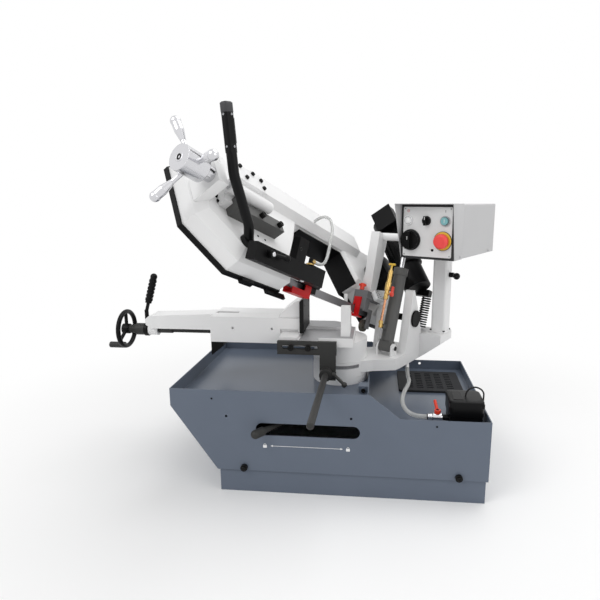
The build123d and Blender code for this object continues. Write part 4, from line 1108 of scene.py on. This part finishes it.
@dataclass
class SwivelTrim:
    """Angle scale of the turntable and the caps on the damper's pin."""

    radius: float = 94.7
    wall: float = 1.3
    low: float = 351
    high: float = 363
    start: float = -96
    sweep: float = 52
    ticks: int = 26
    margin: float = 1
    tick_foot: float = 4
    tick_half: float = 0.4
    right_cap: Point = (160.5, 101, 398)
    left_cap: Point = (89.5, 101, 398)

    def build(self) -> None:
        """Bend the scale round the ring, tick it, and cap the pin."""
        self._scale()
        self._ticks()
        Screw(8, 3).set("foot_cap_1", SWIVEL, [self.right_cap], "swivel", Way.RIGHT)
        Screw(8, 3).set("foot_cap_-1", SWIVEL, [self.left_cap], "swivel", Way.LEFT)

    def _scale(self) -> None:
        """Cut the scale's strip out of a thin ring."""
        first, last = radians(self.start), radians(self.start + self.sweep)

        def outside(normal: Vector, middle: Vector) -> bool:
            """True for a face that lies beyond the scale's ends."""
            return not first < atan2(middle.y, middle.x) < last

        deep = self.high - self.low
        strip = Shaper.drum("angle_scale", WORLD, (0, 0, self.low), self.radius, deep, sides=120)
        strip.bore(self.wall).drop(outside).dress(GROUND_STEEL, "swivel")

    def _ticks(self) -> None:
        """Spin one tick along the scale."""
        edge, half = self.radius - 0.1, self.tick_half
        low, high = self.low + self.tick_foot, self.high - self.margin
        begin = Matrix.Rotation(radians(self.start + self.margin), 4, "Z")
        tick = Shaper.box("scale_ticks", begin, (edge, -half, low), (edge + 0.3, half, high))
        tick.facing(Way.DOWN).pull((0, 0, -self.margin)).tidy()
        turn = radians(2 * self.margin - self.sweep)
        bpy.ops.mesh.spin(steps=self.ticks, dupli=True, angle=turn, center=(0, 0, 0), axis=Way.UP.value)
        tick.dress(SHADE_AND_PRINT_BLACK, "swivel")


@dataclass
class StandTrim:
    """Caps, plugs, pictogram and pump cover on the stand."""

    leg_screws: tuple[Point, ...] = ((-280, -289, 86), (379, -289, 86))
    table_screws: tuple[Point, ...] = ((-150, -157, 440), (-94, -157, 440))
    bracket_screw: Point = (85, -156, 305)
    plugs: tuple[Point, ...] = ((-375.5, -279, 310), (308, -279, 247))
    front: float = -279
    level: float = 161.5
    thick: float = 0.4
    arrow: tuple[float, float] = (-188, 21)
    arrow_half: float = 0.8
    head_long: float = 7
    head_wide: float = 4.4
    locks: tuple[float, float] = (-212.8, 44.2)
    cover: Corners = ((347, -240, 262), (453, -135, 308))
    sleeve: Point = (301.5, -212, 248)
    collar: Point = (286, -212, 248)

    def build(self) -> None:
        """Set the screws, print the pictogram, and cover the pump."""
        Screw(6.5, 4).set("leg_screw", WORLD, self.leg_screws, "stand")
        Screw(6, 4).set("table_screw", WORLD, self.table_screws, "stand")
        Screw(7, 5).set("bracket_screw", WORLD, [self.bracket_screw], "stand")
        Screw(3, 1, SHADE_AND_PRINT_BLACK).set("tub_plug", WORLD, self.plugs, "stand")
        self._arrow()
        self._padlocks()
        self._pump()

    def _arrow(self) -> None:
        """Print the arrow with a head at each end."""
        (left, right), half = self.arrow, self.arrow_half
        low = (left, self.front - self.thick, self.level - half)
        shaft = Shaper.box("arrow_shaft", WORLD, low, (right, self.front, self.level + half))
        for end, way in ((right, 1), (left, -1)):
            shaft.pick(lambda normal, middle: abs(normal.x) > FACING and abs(middle.x - end) < 0.05)
            shaft.pull((0.2 * way, 0, 0)).squeeze((1, 1, self.head_wide))
            shaft.pull((self.head_long * way, 0, 0)).squeeze((1, 1, 0.05))
        shaft.dress(PRINT_WHITE, "stand")

    def _padlocks(self) -> None:
        """Print a padlock beyond each head of the arrow."""
        first, last = self.locks
        low = (first - 6, self.front - self.thick, self.level - 7)
        body = Shaper.box("padlock_body", WORLD, low, (first + 6, self.front, self.level + 2))
        body.round_edges(Way.BACK, 1.2, 2).soften(0.1, 1)
        at = (first, self.front, self.level + 2)
        bow = Shaper.drum("padlock_bow", WORLD, at, 4.6, self.thick, Way.FRONT, 32)
        bow.bore(1.6).drop(lambda normal, middle: middle.y < -0.2)
        for piece in (body, bow):
            for printed in (piece, *piece.copies(WORLD, [(last - first, 0, 0)])):
                printed.dress(PRINT_WHITE, "stand")

    def _pump(self) -> None:
        """Cover the pump and sleeve its valve."""
        cover = Shaper.box("pump_cover", WORLD, *self.cover)
        cover.round_edges(Way.UP, 16, 5).facing(Way.UP).inset(3, 2.4).inset(8, 0.5)
        cover.soften(2, 3, 30).dress(BLACK_PLASTIC, "stand")
        sleeve = Shaper.drum("valve_sleeve", WORLD, self.sleeve, 14.2, 29, Way.RIGHT)
        sleeve.bore(2.7).soften(1.2).dress(POLISHED, "stand")
        collar = Shaper.drum("valve_collar", WORLD, self.collar, 10.6, 15.5, Way.RIGHT)
        collar.bore(2.4).soften(1).dress(POLISHED, "stand")


@dataclass
class ViseTrim:
    """Thread and sleeve of the vise screw, the screws of its jaw plate, and the table's ground faces."""

    thread: Point = (-640, 0, 449)
    pitch: float = 5
    turns: int = 38
    sleeve: Point = (-655, 0, 449)
    jaw_screws: tuple[tuple[float, ...], ...] = ((-117,), (-60, 40), (500, 560))
    table_top: float = 470
    relief_floor: float = 460
    skin: float = 0.2
    corner: Corners = ((-27.5, 99.5, 0), (0.5, 0.866, 0))

    def build(self) -> None:
        """Cut the thread rings, slip on the sleeve, set the screws and skin the table."""
        thread = Shaper.drum("screw_thread", WORLD, self.thread, 9.8, 2.2, Way.RIGHT, 32)
        thread.bore(1.2).soften(0.7, 1).apply(
            "ARRAY", count=self.turns, use_relative_offset=False, use_constant_offset=True,
            constant_offset_displace=(self.pitch * MM, 0, 0),
        )
        thread.dress(IRON, "vise_spindle")
        sleeve = Shaper.drum("screw_sleeve", WORLD, self.sleeve, 12.4, 52, Way.RIGHT)
        sleeve.bore(3.6).soften(1.2).dress(IRON, "vise_spindle")
        Screw(6, 0.8).set("jaw_screw", WORLD, [*product(*self.jaw_screws)], "jaw", Way.RIGHT)
        self._ground_faces()

    def _ground_faces(self) -> None:
        """Skin the ground faces of the table on both sides of the blade and below it."""
        low, top = self.relief_floor, self.table_top
        floor = Shaper.box("relief_face", WORLD, (-126, -133, low), (48, 98, low + self.skin))
        floor.cut(*self.corner)
        rear = Shaper.box("rear_face", WORLD, (-128, 13, top), (48, 99, top + self.skin))
        rear.cut(*self.corner).cut((0, 13, 0), (0.811, -0.585, 0)).cut((25.5, 48, 0), (0.866, -0.5, 0))
        front = Shaper.box("front_face", WORLD, (-61, -134, top), (49, -13, top + self.skin))
        front.cut((12.5, -12.5, 0), (-0.857, 0.515, 0))
        for face in (floor, rear, front):
            face.dress(GROUND_STEEL, "stand")


@dataclass
class MotorTrim:
    """Fan grille and terminal lid of the motor."""

    fan: Point = (60, 340, 195)
    ring_radii: tuple[float, ...] = (18, 32, 46)
    lid_screws: tuple[tuple[float, ...], ...] = ((-36,), (276, 341), (183, 249))

    def build(self) -> None:
        """Ring the fan cowl and screw down the lid."""
        for number, radius in enumerate(self.ring_radii, start=1):
            ring = Shaper.drum(f"fan_ring_{number}", BAND, self.fan, radius, 1.6, Way.BACK)
            ring.bore(5).soften(0.5, 1).dress(SHADE_AND_PRINT_BLACK, "bow")
        Screw(3.5, 2).set("lid_screw", BAND, [*product(*self.lid_screws)], "bow", Way.LEFT)


@dataclass
class Studio:
    """Camera at the photograph's angle, pale floor and soft lamps."""

    spot: Point = (0.1217, -1.6806, 0.9085)
    tilt: float = 78.6
    pan: float = 5.4
    lens: float = 30
    sensor: float = 36
    shift: float = -0.05
    floor_size: float = 14
    floor_tone: float = 0.93
    floor_roughness: float = 0.9
    floor_fade: tuple[float, float] = (0.46, 1.9)
    ambient: float = 0.6
    lamp_aim: Point = (0, 0, 0.5)
    lamps: tuple[tuple[str, Point, float, float], ...] = (
        ("key", (-1.9, -2.2, 2.9), 2.2, 36),
        ("fill", (2.4, -1.7, 1.7), 2.0, 13),
        ("top", (0.8, 0.4, 3.1), 2.4, 34),
    )

    def build(self) -> None:
        """Set up everything that isn't part of the machine."""
        scene = bpy.context.scene
        scene.view_settings.view_transform = "Standard"
        self._camera(scene)
        self._floor()
        self._sky(scene)
        self._lamps(scene)

    def _camera(self, scene: bpy.types.Scene) -> None:
        """Place the camera.

        Args:
            scene: where it looks from.
        """
        data = bpy.data.cameras.new("camera")
        data.lens = self.lens
        data.sensor_width = self.sensor
        data.shift_x = self.shift
        eye = bpy.data.objects.new("camera", data)
        eye.location = self.spot
        eye.rotation_euler = (radians(self.tilt), 0, radians(self.pan))
        scene.collection.objects.link(eye)
        scene.camera = eye

    def _floor(self) -> None:
        """Lay a pale floor that fades into the background."""
        Shaper.clear()
        bpy.ops.mesh.primitive_plane_add(size=self.floor_size, location=(0, 0, 0))
        floor = bpy.context.object
        floor.name = "floor"
        made = bpy.data.materials.new("floor_white")
        made.use_nodes = True
        tree = made.node_tree
        links = tree.links
        shader = tree.nodes["Principled BSDF"]
        shader.inputs["Base Color"].default_value = (*[self.floor_tone] * 3, 1)
        shader.inputs["Roughness"].default_value = self.floor_roughness
        reach = add_node(tree, "VectorMath", operation="LENGTH")
        links.new(add_node(tree, "TexCoord").outputs["Object"], reach.inputs[0])
        near, far = self.floor_fade
        fade = add_node(
            tree, "MapRange", {"From Min": near, "From Max": far}, interpolation_type="SMOOTHSTEP"
        )
        links.new(reach.outputs["Value"], fade.inputs["Value"])
        share = add_node(tree, "Math", operation="MULTIPLY")
        links.new(fade.outputs["Result"], share.inputs[0])
        links.new(self._seen(tree), share.inputs[1])
        mix = add_node(tree, "MixShader")
        links.new(share.outputs["Value"], mix.inputs["Fac"])
        links.new(shader.outputs["BSDF"], mix.inputs[1])
        links.new(add_node(tree, "Emission").outputs["Emission"], mix.inputs[2])
        links.new(mix.outputs["Shader"], tree.nodes["Material Output"].inputs["Surface"])
        floor.data.materials.append(made)

    @staticmethod
    def _seen(tree: bpy.types.NodeTree) -> bpy.types.NodeSocket:
        """Give 1 on rays from the camera, a mirror or glass.

        Args:
            tree: node tree that needs it.

        Returns:
            The socket with that value.
        """
        path = add_node(tree, "LightPath")
        total = path.outputs["Is Camera Ray"]
        for name in ("Is Glossy Ray", "Is Transmission Ray"):
            either = add_node(tree, "Math", operation="MAXIMUM")
            tree.links.new(total, either.inputs[0])
            tree.links.new(path.outputs[name], either.inputs[1])
            total = either.outputs["Value"]
        return total

    def _sky(self, scene: bpy.types.Scene) -> None:
        """Light the scene from all round, white where it is seen.

        Args:
            scene: what is lit.
        """
        world = bpy.data.worlds.new("studio")
        scene.world = world
        world.use_nodes = True
        tree = world.node_tree
        back = tree.nodes["Background"]
        level = add_node(tree, "MapRange", {"To Min": self.ambient, "To Max": 1.0})
        tree.links.new(self._seen(tree), level.inputs["Value"])
        back.inputs["Color"].default_value = (1, 1, 1, 1)
        tree.links.new(level.outputs["Result"], back.inputs["Strength"])

    def _lamps(self, scene: bpy.types.Scene) -> None:
        """Hang the soft lamps.

        Args:
            scene: what they light.
        """
        for name, spot, size, power in self.lamps:
            data = bpy.data.lights.new(name, "AREA")
            data.shape = "DISK"
            data.size = size
            data.energy = power
            lamp = bpy.data.objects.new(name, data)
            lamp.location = spot
            way = Vector(self.lamp_aim) - Vector(spot)
            lamp.rotation_euler = way.to_track_quat("-Z", "Y").to_euler()
            scene.collection.objects.link(lamp)


def main() -> None:
    """Dress the solids and build every sub-assembly."""
    logging.basicConfig(level=logging.INFO, format="%(name)s: %(message)s")
    dress_nodes()
    parts = (
        Plumbing(), ReturnSpring(), Console(), BowTrim(), TensionStar(), GuideTrim(), DamperTrim(),
        SwivelTrim(), StandTrim(), ViseTrim(), MotorTrim(), Studio(),
    )
    for part in parts:
        LOG.info("%s", type(part).__name__)
        part.build()


if __name__ == "__main__":
    main()
